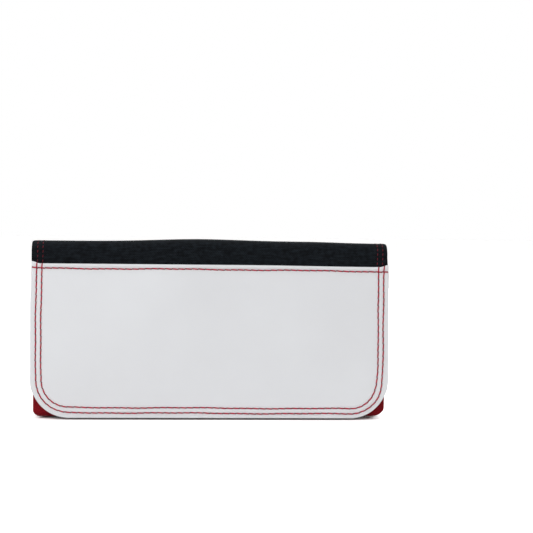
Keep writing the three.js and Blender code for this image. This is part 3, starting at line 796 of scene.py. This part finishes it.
def fold_shift(x, y, z):
    """The ends of the bottom fold: lifted off the floor over their last 30 mm, and rounded as a quarter
    circle where the fold turns up, both dying out up the wall."""
    body = bpy.context.scene.wallet_body
    half = extent("bottom_panel")[1][0]
    lift = np.where(x < 0, body.left_lift, body.right_lift) * PER_M
    lift = lift * smooth(half - FOLD_LIFTED[0], half - FOLD_LIFTED[1], np.abs(x))
    lift = lift * (1 - smooth(*FOLD_FADED, z))
    radius = np.where(x < 0, body.left_round, body.right_round) * PER_M
    pull = radius - np.sqrt(radius**2 - np.clip(radius - z, 0, radius) ** 2)
    return np.stack([-np.sign(x) * pull * (np.abs(x) / half) ** FOLD_SHARP, 0 * lift, lift], -1)


def rim_of(span, low=-FAR, high=FAR):
    """A rim that thickens a sheet inwards by span at its border, between two places along it."""
    def rim(x, t, inset):
        between = smooth(low, low + RIM_RUN, t) * (1 - smooth(high - RIM_RUN, high, t))
        return span * (1 - smooth(*RIM, inset)) * between
    return rim


def flap_sheets():
    """The white cloth and the lining behind it. The cloth's swell is a crown, slow slack, valleys along its
    stitch rows with a soft rise between them, and the turned hem at its top edge. The lining's rim turns
    forward over the board's edge to the cloth."""
    flap = bpy.context.scene.wallet_flap
    corner = flap.corner * PER_M
    low, high = extent("flap_panel")
    back_low, back_high = extent("flap_lining")
    board_top = extent("flap_board")[1][2]
    top = high[2] - low[2]
    outer, inner = flap.outer_row * PER_M, flap.inner_row * PER_M

    def swell(x, t, inset):
        sides = cloth.inset(x, t, opens=(False, True))
        rows = np.maximum(hump(sides - outer, VALLEY), hump(sides - inner, VALLEY))
        rows = np.maximum(rows, hump(top - t - flap.top_row * PER_M, VALLEY))
        between = hump(sides - (outer + inner) / 2, PUFF)
        crown = (1 - (x / high[0]) ** 2) * np.sin(np.pi * np.clip(t / top, 0, 1))
        slack = np.sin(x / SLACK_X[0] + SLACK_X[1]) * np.sin(t / SLACK_T[0] + SLACK_T[1])
        slack = slack * smooth(*SLACKENED, sides)
        hem = 1 - smooth(*HEMMED, top - t)
        return PER_M * (flap.crown * crown + flap.slack * slack + flap.hem * hem + flap.puff * between
                        - flap.valley * rows)

    line = bent_line((low[1], low[2]), (low[1], high[2]))
    cloth = Sheet(line, high[0], high[1] - low[1], (corner, 0), CLOTH_SOFT, swell=swell, shift=cloth_rise)
    line = bent_line((back_high[1], back_high[2] + LINING_RISE), (back_high[1], back_low[2]))
    turned_in = rim_of(back_low[1] - high[1] - CLOSED, line[-1, 0] - (board_top - back_low[2]) + BOARD_LAP)
    lining = Sheet(line, back_high[0], back_high[1] - back_low[1], (0, corner), rim=turned_in,
                   shift=lining_rise)
    return cloth, lining


def band_sheets():
    """The black canvas over the spine, front and rear half, which meet at the middle of the top, and that
    middle."""
    front_low = extent("band_front")[0]
    back_low, back_high = extent("band_back")
    half, _, top = extent("band_top")[1]
    middle = (front_low[1] + back_high[1]) / 2
    board_low, board_high = extent("flap_board")
    radius = top - roll_foot()
    options = {"half": half - BAND_MARGIN, "thick": board_high[1] - board_low[1], "shift": spine_rise}
    front = bent_line((front_low[1], front_low[2]), (front_low[1], top), (middle, top), radius=radius)
    back = bent_line((middle, top), (back_high[1], top), (back_high[1], back_low[2]), radius=radius)
    return Sheet(front, opens=(False, True), **options), Sheet(back, opens=(True, False), **options), middle


def roll_foot():
    """Height at which the spine's roll begins."""
    return extent("spine_lining")[0][2]


def spine_blend(made):
    """Bakes a piece's place into its mesh, as it stands."""
    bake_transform(made)


def wall_sheets():
    """The outer leather of the front and rear walls, each with its half of the bottom fold."""
    body = bpy.context.scene.wallet_body
    low, high = extent("bottom_panel")
    front_low, front_high = extent("front_panel")
    rear_low, rear_high = extent("rear_panel")
    roll, middle, half = high[2], (low[1] + high[1]) / 2, high[0]
    line = bent_line((middle, 0), (low[1], 0), (low[1], front_high[2]), radius=roll)
    rim = rim_of(WALL_RIM, line[-1, 0] - (front_high[2] - roll) - RIM_LAP)
    front = Sheet(line, half, front_high[1] - front_low[1], soft=WALL_SOFT, opens=(True, False), rim=rim,
                  shift=fold_shift)
    line = bent_line((rear_high[1], rear_high[2]), (rear_high[1], 0), (middle, 0), radius=roll)
    rim = rim_of(WALL_RIM, high=rear_high[2] - roll + RIM_LAP)
    rear = Sheet(line, half, rear_high[1] - rear_low[1], (body.rear_corner * PER_M, 0), WALL_SOFT,
                 opens=(False, True), rim=rim, shift=fold_shift)
    return front, rear


def upright_sheet(node, forward, corners=(0, 0), **options):
    """A flat sheet in the place of a CAD plate. One that looks forward starts at the foot of the plate's
    front face, and one that looks back starts at the top of its rear face."""
    low, high = extent(node)
    ends = ((low[1], low[2]), (low[1], high[2])) if forward else ((high[1], high[2]), (high[1], low[2]))
    return Sheet(bent_line(*ends), high[0], high[1] - low[1], corners, **options)


def centre_sheets():
    """The leather plies of the centre wall by node; the two that hold its board close round its edge."""
    low, high = extent("centre_panel")
    board_top = extent("centre_board")[1][2]
    span = (low[1] - extent("coin_pocket_back")[1][1] - CLOSED) / 2
    return {
        "centre_panel": upright_sheet("centre_panel", False, soft=WALL_SOFT, shift=fold_shift,
                                      rim=rim_of(span, high[2] - board_top)),
        "coin_pocket_back": upright_sheet("coin_pocket_back", True, shift=fold_shift,
                                          rim=rim_of(span, high=board_top - low[2])),
        "coin_pocket_front": upright_sheet("coin_pocket_front", True, soft=WALL_SOFT, shift=fold_shift),
        "coin_pocket_header": upright_sheet("coin_pocket_header", True, soft=WALL_SOFT),
    }


STRIPS = ("card_strip_1", "card_strip_2", "card_strip_3")


def strip_sheet(strip):
    """The leather of one card strip."""
    return upright_sheet(strip, True, soft=STRIP_SOFT)


# Operators


class WALLET_OT_flap(bpy.types.Operator):
    """Make the white cloth of the flap and the red lining behind it"""

    bl_idname = "wallet.flap"
    bl_label = "Flap"

    def execute(self, context):
        cloth, lining = flap_sheets()
        columns = [(0, 0.06), (0.5, 0.14), (1.2, 0.33), (8, 0.4), (12, 1.4), (95, 3.0)]
        rows = [*columns[:4], (12, 1.0), (22, 1.6), (40, 3), (70, 3), (77, 0.5), (80.4, 0.2),
                (cloth.length, 0.06)]
        panel = sheet_piece("flap_cloth", cloth, "cloth", "flap_panel", rows=rows, columns=columns)
        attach(panel, "flap")
        rows = [(0, 0.07), (0.5, 0.2), (2, 0.8), (12, 1.5), (25, 3), (60, 3), (70, 1.5), (85, 1.0),
                (88, 0.3), (lining.length, 0.06)]
        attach(sheet_piece("flap_lining_leather", lining, "lining", "flap_lining", rows=rows), "flap")
        return {"FINISHED"}


class WALLET_OT_band(bpy.types.Operator):
    """Make the black canvas band over the spine and the red lining under it"""

    bl_idname = "wallet.band"
    bl_label = "Band and spine"

    def execute(self, context):
        front, back, middle = band_sheets()
        rows = [(0, 0.07), (0.5, 0.2), (2, 0.7), (front.length - 4, 0.5), (front.length, 0.8)]
        cover = sheet_piece("band_canvas_front", front, "canvas", "band_front", "band_top", rows=rows)
        rows = [(0, 0.8), (4, 0.5), (back.length - 2, 0.7), (back.length - 0.5, 0.2), (back.length, 0.07)]
        tail = sheet_piece("band_canvas_back", back, "canvas", "band_back", rows=rows)
        fore, rear = self.linings(middle)
        for made, is_front in ((cover, True), (fore, True), (tail, False), (rear, False)):
            spine_blend(made)
        return {"FINISHED"}

    def linings(self, middle):
        """The front and rear half of the spine's lining, which meet under the middle of the band."""
        high = extent("spine_lining")[1]
        lining_low, lining_high = extent("flap_lining")
        thick = lining_high[1] - lining_low[1]
        face, foot, roof, tuck = high[1] - thick, roll_foot(), high[2] - thick, 0.05
        options = {"half": high[0] - LINING_MARGIN, "thick": thick, "shift": spine_rise}
        line = bent_line((face, foot - tuck), (face, roof), (middle, roof), radius=roof - foot)
        rear = sheet_piece("spine_lining_rear", Sheet(line, opens=(False, True), **options), "lining",
                           "spine_lining", rows=[(0, 0.1), (0.5, 0.4), (20, 0.4)])
        line = bent_line((middle, roof), (lining_high[1], roof), (lining_high[1], foot), radius=roof - foot)
        sheet = Sheet(line, opens=(True, False), **options)
        fore = sheet_piece("spine_lining_front", sheet, "lining",
                           rows=[(0, 0.4), (sheet.length - 0.5, 0.4), (sheet.length, 0.1)])
        return fore, rear


class WALLET_OT_walls(bpy.types.Operator):
    """Make the leather of the front and rear walls with the bottom fold, their linings and the card strips"""

    bl_idname = "wallet.walls"
    bl_label = "Front and rear walls"

    def execute(self, context):
        front, rear = wall_sheets()
        rows = [(0, 3), (4, 1), (8, 0.4), (16, 0.4), (20, 2), (40, 4), (80, 4), (front.length - 2, 0.6),
                (front.length - 0.5, 0.14), (front.length, 0.06)]
        made = sheet_piece("front_leather", front, "leather", "front_panel", "bottom_panel", rows=rows,
                           columns=WALL_EDGE)
        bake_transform(made)
        rows = [(0, 0.06), (0.5, 0.14), (2, 0.5), (12, 0.9), (20, 3), (70, 3), (80, 0.6), (92, 0.6),
                (rear.length, 2)]
        made = sheet_piece("rear_leather", rear, "leather", "rear_panel", rows=rows, columns=WALL_EDGE)
        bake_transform(made)
        lining = upright_sheet("front_lining", False, rim=rim_of(WALL_RIM))
        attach(sheet_piece("front_lining_leather", lining, "lining", "front_lining"), "front_wall")
        lining = upright_sheet("rear_lining", True, (0, rear.corners[0]), rim=rim_of(WALL_RIM))
        rows = [(0, 0.07), (1, 0.5), (10, 3), (65, 3), (72, 0.9), (lining.length - 2, 0.5),
                (lining.length, 0.06)]
        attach(sheet_piece("rear_lining_leather", lining, "lining", "rear_lining", rows=rows), "rear_wall")
        for strip in STRIPS:
            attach(sheet_piece(strip + "_leather", strip_sheet(strip), "leather", strip), "rear_wall")
        return {"FINISHED"}


class WALLET_OT_centre(bpy.types.Operator):
    """Make the plies and the board of the centre wall, and the sewn frame of the coin pocket between them"""

    bl_idname = "wallet.centre"
    bl_label = "Centre wall"

    def execute(self, context):
        for node, sheet in centre_sheets().items():
            kind = "lining" if node == "coin_pocket_back" else "leather"
            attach(sheet_piece(node + "_leather", sheet, kind, node, columns=WALL_EDGE), "body")
        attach(stands_for(self.frame_piece(), "lining", "coin_pocket_frame"), "body")
        board = upright_sheet("centre_board", False, (BOARD_CORNER, 0), soft=BOARD_SOFT, shift=fold_shift)
        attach(sheet_piece("centre_board_core", board, "board", "centre_board"), "body")
        return {"FINISHED"}

    def frame_piece(self):
        """A flat strip carried round a rectangle: its profile is a box with eased outer corners, mitred at
        the four corners by placing it along the diagonals."""
        low, high = extent("coin_pocket_frame")
        low[1], high[1] = extent("coin_pocket_front")[1][1], extent("coin_pocket_back")[0][1]
        deep, width, ease = high[1] - low[1], 4.0, 0.2
        profile = np.array([(0, ease), (ease, 0), (width, 0), (width, deep), (ease, deep), (0, deep - ease)])
        corner = np.array([(low[0], low[2], 1, 1), (high[0], low[2], -1, 1), (high[0], high[2], -1, -1),
                           (low[0], high[2], 1, -1)])
        x = corner[:, None, 0] + corner[:, None, 2] * profile[None, :, 0]
        z = corner[:, None, 1] + corner[:, None, 3] * profile[None, :, 0]
        y = np.broadcast_to(low[1] + profile[:, 1], x.shape)
        points = np.stack([x, y, z], -1) + fold_shift(x, y, z)
        index = np.arange(x.size).reshape(x.shape)
        index = np.concatenate([index, index[:1]])
        index = np.concatenate([index, index[:, :1]], 1)
        return make_piece("coin_pocket_frame_leather", points.reshape(-1, 3), [quads(index)[:, ::-1]],
                          finish_of("lining"), flat=True)


class WALLET_OT_gussets(bpy.types.Operator):
    """Make the four folded side gussets"""

    bl_idname = "wallet.gussets"
    bl_label = "Gussets"

    def execute(self, context):
        for place, wall in (("front", "front_wall"), ("rear", "rear_wall")):
            for side, sign in (("left", -1), ("right", 1)):
                node = f"{place}_gusset_{side}"
                low, high = extent(node)
                made = stands_for(self.folded(node + "_leather", low, high, sign), "leather", node)
                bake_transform(made)
        return {"FINISHED"}

    def folded(self, name, low, high, sign):
        """A sheet folded inwards: u from -1 to 1 runs from one wall to the other and v up, the fold's depth
        grows as sqrt(u^2 + ease) from its crease, and over its upper fifth the edge dips by dip towards the
        crease. flat is half its width laid out flat, for the UV map."""
        thick, ease, dip, soft, flat = 0.5, 0.02, 1.2, 0.25, 10.0
        mouth, fold = (high[0], low[0]) if sign > 0 else (low[0], high[0])
        u = np.linspace(-1, 1, 41)
        v = spaced(high[2] - low[2], both_ends(high[2] - low[2]))
        depth = (np.sqrt(u**2 + ease) - math.sqrt(ease)) / (math.sqrt(1 + ease) - math.sqrt(ease))
        x = fold + (mouth - fold) * depth
        y = (low[1] + high[1]) / 2 + u * (high[1] - low[1] - thick) / 2
        way = np.stack([np.gradient(x), np.gradient(y)], -1)
        way /= np.linalg.norm(way, axis=1, keepdims=True)
        inset = np.minimum(v, v[-1] - v)[:, None] + 0 * u
        half = thick / 2 * eased(inset, soft)
        z = low[2] + v[:, None] - dip * (1 - depth) * smooth(0.8, 1.0, v / v[-1])[:, None]
        faces = [np.stack([x - way[:, 1] * side * half, y + way[:, 0] * side * half, z], -1)
                 for side in (1, -1)]
        uv = np.stack(np.broadcast_arrays(u * flat, v[:, None]), -1)
        return two_faced(name, *faces, finish_of("leather"), uv, border(inset))


class WALLET_OT_zip(bpy.types.Operator):
    """Make the zip's woven tapes and leather pull tab, and finish its teeth, stops and slider"""

    bl_idname = "wallet.zip"
    bl_label = "Zip"

    def execute(self, context):
        for node in ("zip_tape_lower", "zip_tape_upper"):
            sheet = upright_sheet(node, True, soft=TAPE_SOFT)
            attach(sheet_piece(node + "_cloth", sheet, "tape", node), "body")
        for node in ("zip_teeth_lower", "zip_teeth_upper", "zip_stop_left", "zip_stop_right"):
            plate(node, "teeth")
        plate("zip_slider", "metal")
        self.tab()
        return {"FINISHED"}

    def tab(self):
        """The pull tab: rays from its eye to its outline, a round neck over two straight sides and a round
        end, with both faces closing at the borders, and a row of stitches inside its edge."""
        low, high = extent("zip_pull_tab")
        eye_radius, neck, seam, soft, painted = 0.8, 1.6, 0.8, 0.3, 0.4
        half = (high[0] - low[0]) / 2
        eye = np.array([(low[0] + high[0]) / 2, high[2] - neck])
        foot = low[2] + half
        top, end = np.linspace(0, math.pi, 17), np.linspace(math.pi, 2 * math.pi, 25)
        side = np.linspace(eye[1] - 2 * neck, foot + 0.5, 16)
        outline = np.concatenate([
            eye + neck * np.stack([np.cos(top), np.sin(top)], -1),
            np.stack([np.full_like(side, eye[0] - half), side], -1),
            np.array([eye[0], foot]) + half * np.stack([np.cos(end), np.sin(end)], -1),
            np.stack([np.full_like(side, eye[0] + half), side[::-1]], -1)])
        ray = outline - eye
        reach = np.linalg.norm(ray, axis=1)[:, None]
        share = np.array([0, 0.03, 0.08, 0.16, 0.3, 0.5, 0.7, 0.84, 0.92, 0.97, 1])
        place = eye + ray / reach * eye_radius
        place = place[:, None] + (outline - place)[:, None] * share[:, None]
        run = np.roll(outline, -1, axis=0) - outline
        along = np.einsum("asmk,mk->asm", place[:, :, None] - outline, run) / (run**2).sum(1)
        nearest = outline + np.clip(along, 0, 1)[..., None] * run
        inset = np.linalg.norm(place[:, :, None] - nearest, axis=-1).min(-1)
        inset = np.minimum(inset, np.linalg.norm(place - eye, axis=-1) - eye_radius)
        swing = (high[1] - low[1]) / 2 * eased(inset, soft)
        middle = (low[1] + high[1]) / 2
        faces = [np.stack([place[..., 0], middle + way * swing, place[..., 1]], -1) for way in (-1, 1)]
        index = np.arange(inset.size).reshape(inset.shape)
        index = np.concatenate([index, index[:1]])
        back = index + inset.size
        rims = [np.stack([index[:-1, k], back[:-1, k], back[1:, k], index[1:, k]], -1)[:, ::way]
                for k, way in ((-1, 1), (0, -1))]
        points = np.concatenate([face.reshape(-1, 3) for face in faces])
        made = make_piece("zip_pull_tab_leather", points, [quads(index), quads(back)[:, ::-1], *rims],
                          finish_of("leather"), edge=np.tile(border(inset, painted).ravel(), 2))
        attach(stands_for(made, "leather", "zip_pull_tab"), "pull_tab")
        bend = half - seam
        side = np.linspace(eye[1] - 2.4 * neck, foot, 20)
        x = np.concatenate([np.full_like(side, -bend), bend * np.cos(end), np.full_like(side, bend)])
        z = np.concatenate([side, foot + bend * np.sin(end), side[::-1]])
        row = np.stack([eye[0] + x, np.full_like(x, low[1]), z], -1)
        row = row[np.concatenate([[True], np.linalg.norm(np.diff(row, axis=0), axis=1) > 1e-6])]
        normals = np.tile([0.0, -1.0, 0.0], (len(row), 1))
        made = thread_piece("zip_pull_tab_stitches", [(row, normals)], pitch=1.6, thread=0.16)
        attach(made, "pull_tab")


class WALLET_OT_hardware(bpy.types.Operator):
    """Make the magnetic snap's turned shells, and finish its magnet and washers and the stiffening boards"""

    bl_idname = "wallet.hardware"
    bl_label = "Snap and boards"

    def execute(self, context):
        body = context.scene.wallet_body
        low, high = extent("snap_stud")
        radius, axis = (high[0] - low[0]) / 2, ((low[0] + high[0]) / 2, (low[2] + high[2]) / 2)
        face, nipple = low[1] + body.stud_plate * PER_M, body.stud_nipple * PER_M
        corners = ((0, low[1]), (radius, low[1]), (radius, face), (nipple, face), (nipple, high[1]),
                   (0, high[1]))
        profile = bent_line(*corners, radius=body.stud_edge * PER_M, arc=5)[:, 1:3]
        made = turned("snap_stud_shell", profile, axis, finish_of("metal"))
        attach(stands_for(made, "metal", "snap_stud"), "flap")
        low, high = extent("snap_socket")
        mouth, wall = body.socket_mouth * PER_M, body.socket_wall * PER_M
        start = ((mouth + radius) / 2, low[1])
        corners = (start, (radius, low[1]), (radius, high[1]), (radius - wall, high[1]),
                   (radius - wall, low[1] + wall), (mouth, low[1] + wall), (mouth, low[1]), start)
        profile = bent_line(*corners, radius=body.socket_edge * PER_M, arc=5)[:, 1:3]
        made = turned("snap_socket_shell", profile, axis, finish_of("metal"))
        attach(stands_for(made, "metal", "snap_socket"), "front_wall")
        for node in ("snap_stud_washer", "snap_socket_washer"):
            plate(node, "metal")
        plate("snap_magnet", "magnet")
        for node in ("flap_board", "front_board", "rear_board"):
            plate(node, "board")
        return {"FINISHED"}


# Where the stitch rows begin and end, in millimetres along or across their sheet
CLOTH_SHORT, LED_UP = 0.2, 0.5  # the flap's rows start below the cloth's top, and lead up under the band
TOP_SHORT = 0.1  # the top row stops short of the cloth's sides
LINING_SHORT = 9.0  # the lining's rows stop short of its top
BAND_FROM, BAND_SHORT = 4.4, 6.0  # the band's rows start at the cloth, and stop short of the rear end
WALL_SHORT = 6.0  # the rear wall's row stops short of the bottom
SUNK_AND_SHADED = {"dull": 0.88, "gap": 0.4, "sink": 0.7}  # thread that the canvas closes over, and that is darkened all along as painted shade


class WALLET_OT_stitching(bpy.types.Operator):
    """Sew two rows round the flap and over the band, one along the cloth's top edge, and the body's seams"""

    bl_idname = "wallet.stitching"
    bl_label = "Stitching"

    def execute(self, context):
        flap = context.scene.wallet_flap
        cloth, lining = flap_sheets()
        front, back, _ = band_sheets()
        corner = flap.corner * PER_M
        sizes = {"pitch": flap.pitch * PER_M, "thread": flap.thread * PER_M}
        insets = [flap.outer_row * PER_M, flap.inner_row * PER_M]
        rows = [guided(*u_row(cloth, inset, corner, cloth.length - CLOTH_SHORT)) for inset in insets]
        rows = [led_in(*row, LED_UP) for row in rows]
        reach = cloth.half - TOP_SHORT
        rows.append(row_on(cloth, np.linspace(-reach, reach, 300), cloth.length - flap.top_row * PER_M))
        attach(thread_piece("flap_stitches", rows, **sizes), "flap")
        top = lining.length - LINING_SHORT
        rows = [guided(*u_row(lining, inset, corner, top, from_end=True)) for inset in insets]
        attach(thread_piece("flap_lining_stitches", rows, sink=LEATHER_SINK, **sizes), "flap")
        sizes = {"pitch": flap.band_pitch * PER_M, "thread": flap.band_thread * PER_M}
        for name, sheet, t0, t1 in (("band_stitches_front", front, BAND_FROM, front.length),
                                    ("band_stitches_back", back, 0, back.length - BAND_SHORT)):
            t = np.linspace(t0, t1, 80)
            rows = [row_on(sheet, sign * (sheet.half - BAND_STEP - inset), t) for sign in (-1, 1)
                    for inset in insets]
            made = thread_piece(name, rows, **SUNK_AND_SHADED, **sizes)
            spine_blend(made)
        self.body_seams(context.scene.wallet_body)
        return {"FINISHED"}

    def body_seams(self, body):
        """The rows that hold the walls: one round the rear wall, one along the front wall's top, one along
        each card strip, one each side of the zip's slot, and one round the centre wall."""
        front, rear = wall_sheets()
        low, high = extent("bottom_panel")
        seam = body.seam * PER_M
        sizes = {"pitch": body.seam_pitch * PER_M, "thread": body.seam_thread * PER_M, "sink": LEATHER_SINK}
        wall = rear.length - (high[1] - low[1]) / 2 - WALL_SHORT
        made = thread_piece("rear_wall_stitches", [u_row(rear, seam, rear.corners[0], wall)], **sizes)
        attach(made, "rear_wall")
        x = np.linspace(-front.half + seam, front.half - seam, 200)
        made = thread_piece("front_wall_stitches", [row_on(front, x, front.length - seam)], **sizes)
        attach(made, "front_wall")
        strips = [strip_sheet(strip) for strip in STRIPS]
        rows = [row_on(sheet, x, sheet.length - 0.8 * seam) for sheet in strips]
        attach(thread_piece("card_strip_stitches", rows, **sizes), "rear_wall")
        plies = centre_sheets()
        fore, panel = plies["coin_pocket_front"], plies["centre_panel"]
        inset, corner, short, zip_inset, past = 2.2, 4, 1, 2.0, 3
        x = np.linspace(extent("zip_stop_left")[0][0] - past, extent("zip_stop_right")[1][0] + past, 200)
        rows = [row_on(fore, x, fore.length - zip_inset), row_on(plies["coin_pocket_header"], x, zip_inset),
                u_row(fore, inset, corner, fore.length - short),
                u_row(panel, inset, corner, panel.length - short, from_end=True)]
        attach(thread_piece("centre_wall_stitches", rows, **sizes), "body")


# Place and side of each lamp in metres
LAMPS = {"key": ((-0.75, -0.8, 0.65), 0.7), "fill": ((0.9, -1.0, 0.5), 0.8),
         "top": ((-0.05, -0.15, 1.15), 0.9), "back": ((0.3, 1.1, 0.4), 0.8)}


class WALLET_OT_stage(bpy.types.Operator):
    """Set the pale floor, the soft lamps, the white surroundings and the camera"""

    bl_idname = "wallet.stage"
    bl_label = "Stage"

    def execute(self, context):
        look, scene = context.scene.wallet_stage, context.scene
        scene.view_settings.view_transform = "Standard"
        self.floor(look)
        self.surroundings(scene, look)
        for name, (place, size) in LAMPS.items():
            lamp = bpy.data.lights.new(name.title(), "AREA")
            lamp.energy, lamp.size = getattr(look, name), size
            made = bpy.data.objects.new(name.title(), lamp)
            made.location = place
            way = Vector((0, 0, look.aim)) - Vector(place)
            made.rotation_euler = way.to_track_quat("-Z", "Y").to_euler()
            scene.collection.objects.link(made)
        self.camera(scene, look)
        return {"FINISHED"}

    def seen(self, tree):
        """1 for the rays that show a background: to the camera, off gloss and through glass."""
        path = add(tree, "LightPath").outputs
        seen = add(tree, "Math", {0: path["Is Camera Ray"], 1: path["Is Glossy Ray"]}, 0, operation="MAXIMUM")
        return add(tree, "Math", {0: seen, 1: path["Is Transmission Ray"]}, 0, operation="MAXIMUM")

    def floor(self, look):
        """A wide flat sheet. It keeps its own shading where the object stands close over it, and further off
        added light takes it to plain white for the eye."""
        side = np.linspace(-4000, 4000, 5)
        x, y = np.meshgrid(side, side)
        points = np.stack([x, y, 0 * x], -1).reshape(-1, 3)
        finish, tree = new_finish("Matt white board")
        place = add(tree, "TexCoord", out="Object")
        open_air = add(tree, "AmbientOcclusion", {"Distance": look.contact}, "AO", samples=12)
        open_air = add(tree, "MapRange", {"Value": open_air, "From Min": 0.33, "From Max": 0.55}, "Result",
                       interpolation_type="SMOOTHSTEP")
        share = add(tree, "Math", {0: self.seen(tree), 1: open_air}, 0, operation="MULTIPLY")
        share = add(tree, "Math", {0: share, 1: 0.5}, 0, operation="MULTIPLY")
        grain = add(tree, "TexNoise", {"Vector": place, "Scale": 1 / (2 * MM)}, "Fac")
        bump = add(tree, "Bump", {"Height": grain, "Strength": 0.05, "Distance": 0.1 * MM}, "Normal")
        board = add(tree, "BsdfPrincipled", {"Base Color": look.floor, "Roughness": 0.5, "Normal": bump,
                                             "Specular IOR Level": 0.25}, "BSDF")
        white = add(tree, "Emission", {"Strength": share}, "Emission")
        lit = add(tree, "AddShader", {0: board, 1: white}, "Shader")
        add(tree, "OutputMaterial", {"Surface": lit})
        index = np.arange(x.size).reshape(x.shape)
        make_piece("floor", points, [quads(index)], finish)

    def surroundings(self, scene, look):
        """White to the eye and to bright metal, and an even dimmer light for the rest."""
        scene.world = scene.world or bpy.data.worlds.new("World")
        scene.world.use_nodes = True
        tree = scene.world.node_tree
        tree.nodes.clear()
        strength = add(tree, "MapRange", {"Value": self.seen(tree), "To Min": look.ambient}, "Result")
        white = add(tree, "Background", {"Color": (1, 1, 1, 1), "Strength": strength}, "Background")
        add(tree, "OutputWorld", {"Surface": white})

    def camera(self, scene, look):
        """The camera stands at its distance, azimuth and elevation from the middle of the flap's face, and
        looks along its own yaw and pitch, rolled about that line."""
        target = Vector((0, extent("flap_panel")[0][1] * MM, look.aim))
        back = Vector((math.sin(look.azimuth) * math.cos(look.elevation),
                       -math.cos(look.azimuth) * math.cos(look.elevation), math.sin(look.elevation)))
        ahead = Vector((math.sin(look.yaw) * math.cos(look.pitch), math.cos(look.yaw) * math.cos(look.pitch),
                        math.sin(look.pitch)))
        right = ahead.cross(Vector((0, 0, 1))).normalized()
        up = right.cross(ahead)
        level = right * math.cos(look.roll) + up * math.sin(look.roll)
        upright = up * math.cos(look.roll) - right * math.sin(look.roll)
        lens = bpy.data.cameras.new("Camera")
        lens.sensor_width = 36.0
        lens.lens = look.focal / PHOTO * lens.sensor_width
        made = bpy.data.objects.new("Camera", lens)
        turned_to = Matrix((level, upright, -ahead)).transposed().to_4x4()
        made.matrix_world = Matrix.Translation(target + back * look.distance) @ turned_to
        scene.collection.objects.link(made)
        scene.camera = made


class WALLET_PT_panel(bpy.types.Panel):
    """Lists the steps that make the wallet"""

    bl_idname = "WALLET_PT_panel"
    bl_label = "Flap wallet"
    bl_space_type = "VIEW_3D"
    bl_region_type = "UI"
    bl_category = "Wallet"

    def draw(self, context):
        for step in STEPS:
            self.layout.operator(step.bl_idname)


STEPS = (WALLET_OT_flap, WALLET_OT_band, WALLET_OT_walls, WALLET_OT_centre, WALLET_OT_gussets, WALLET_OT_zip,
         WALLET_OT_hardware, WALLET_OT_stitching, WALLET_OT_stage)
GROUPS = {"wallet_flap": WalletFlapSettings, "wallet_body": WalletBodySettings,
          "wallet_finishes": WalletFinishes, "wallet_stage": WalletStageSettings}


def register():
    for made in (*GROUPS.values(), *STEPS, WALLET_PT_panel):
        bpy.utils.register_class(made)
    for key, group in GROUPS.items():
        setattr(bpy.types.Scene, key, PointerProperty(type=group))


def unregister():
    for key in GROUPS:
        delattr(bpy.types.Scene, key)
    for made in (WALLET_PT_panel, *reversed(STEPS), *GROUPS.values()):
        bpy.utils.unregister_class(made)


def main():
    register()
    for step in STEPS:
        area, name = step.bl_idname.split(".")
        getattr(getattr(bpy.ops, area), name)()


if __name__ == "__main__":
    main()
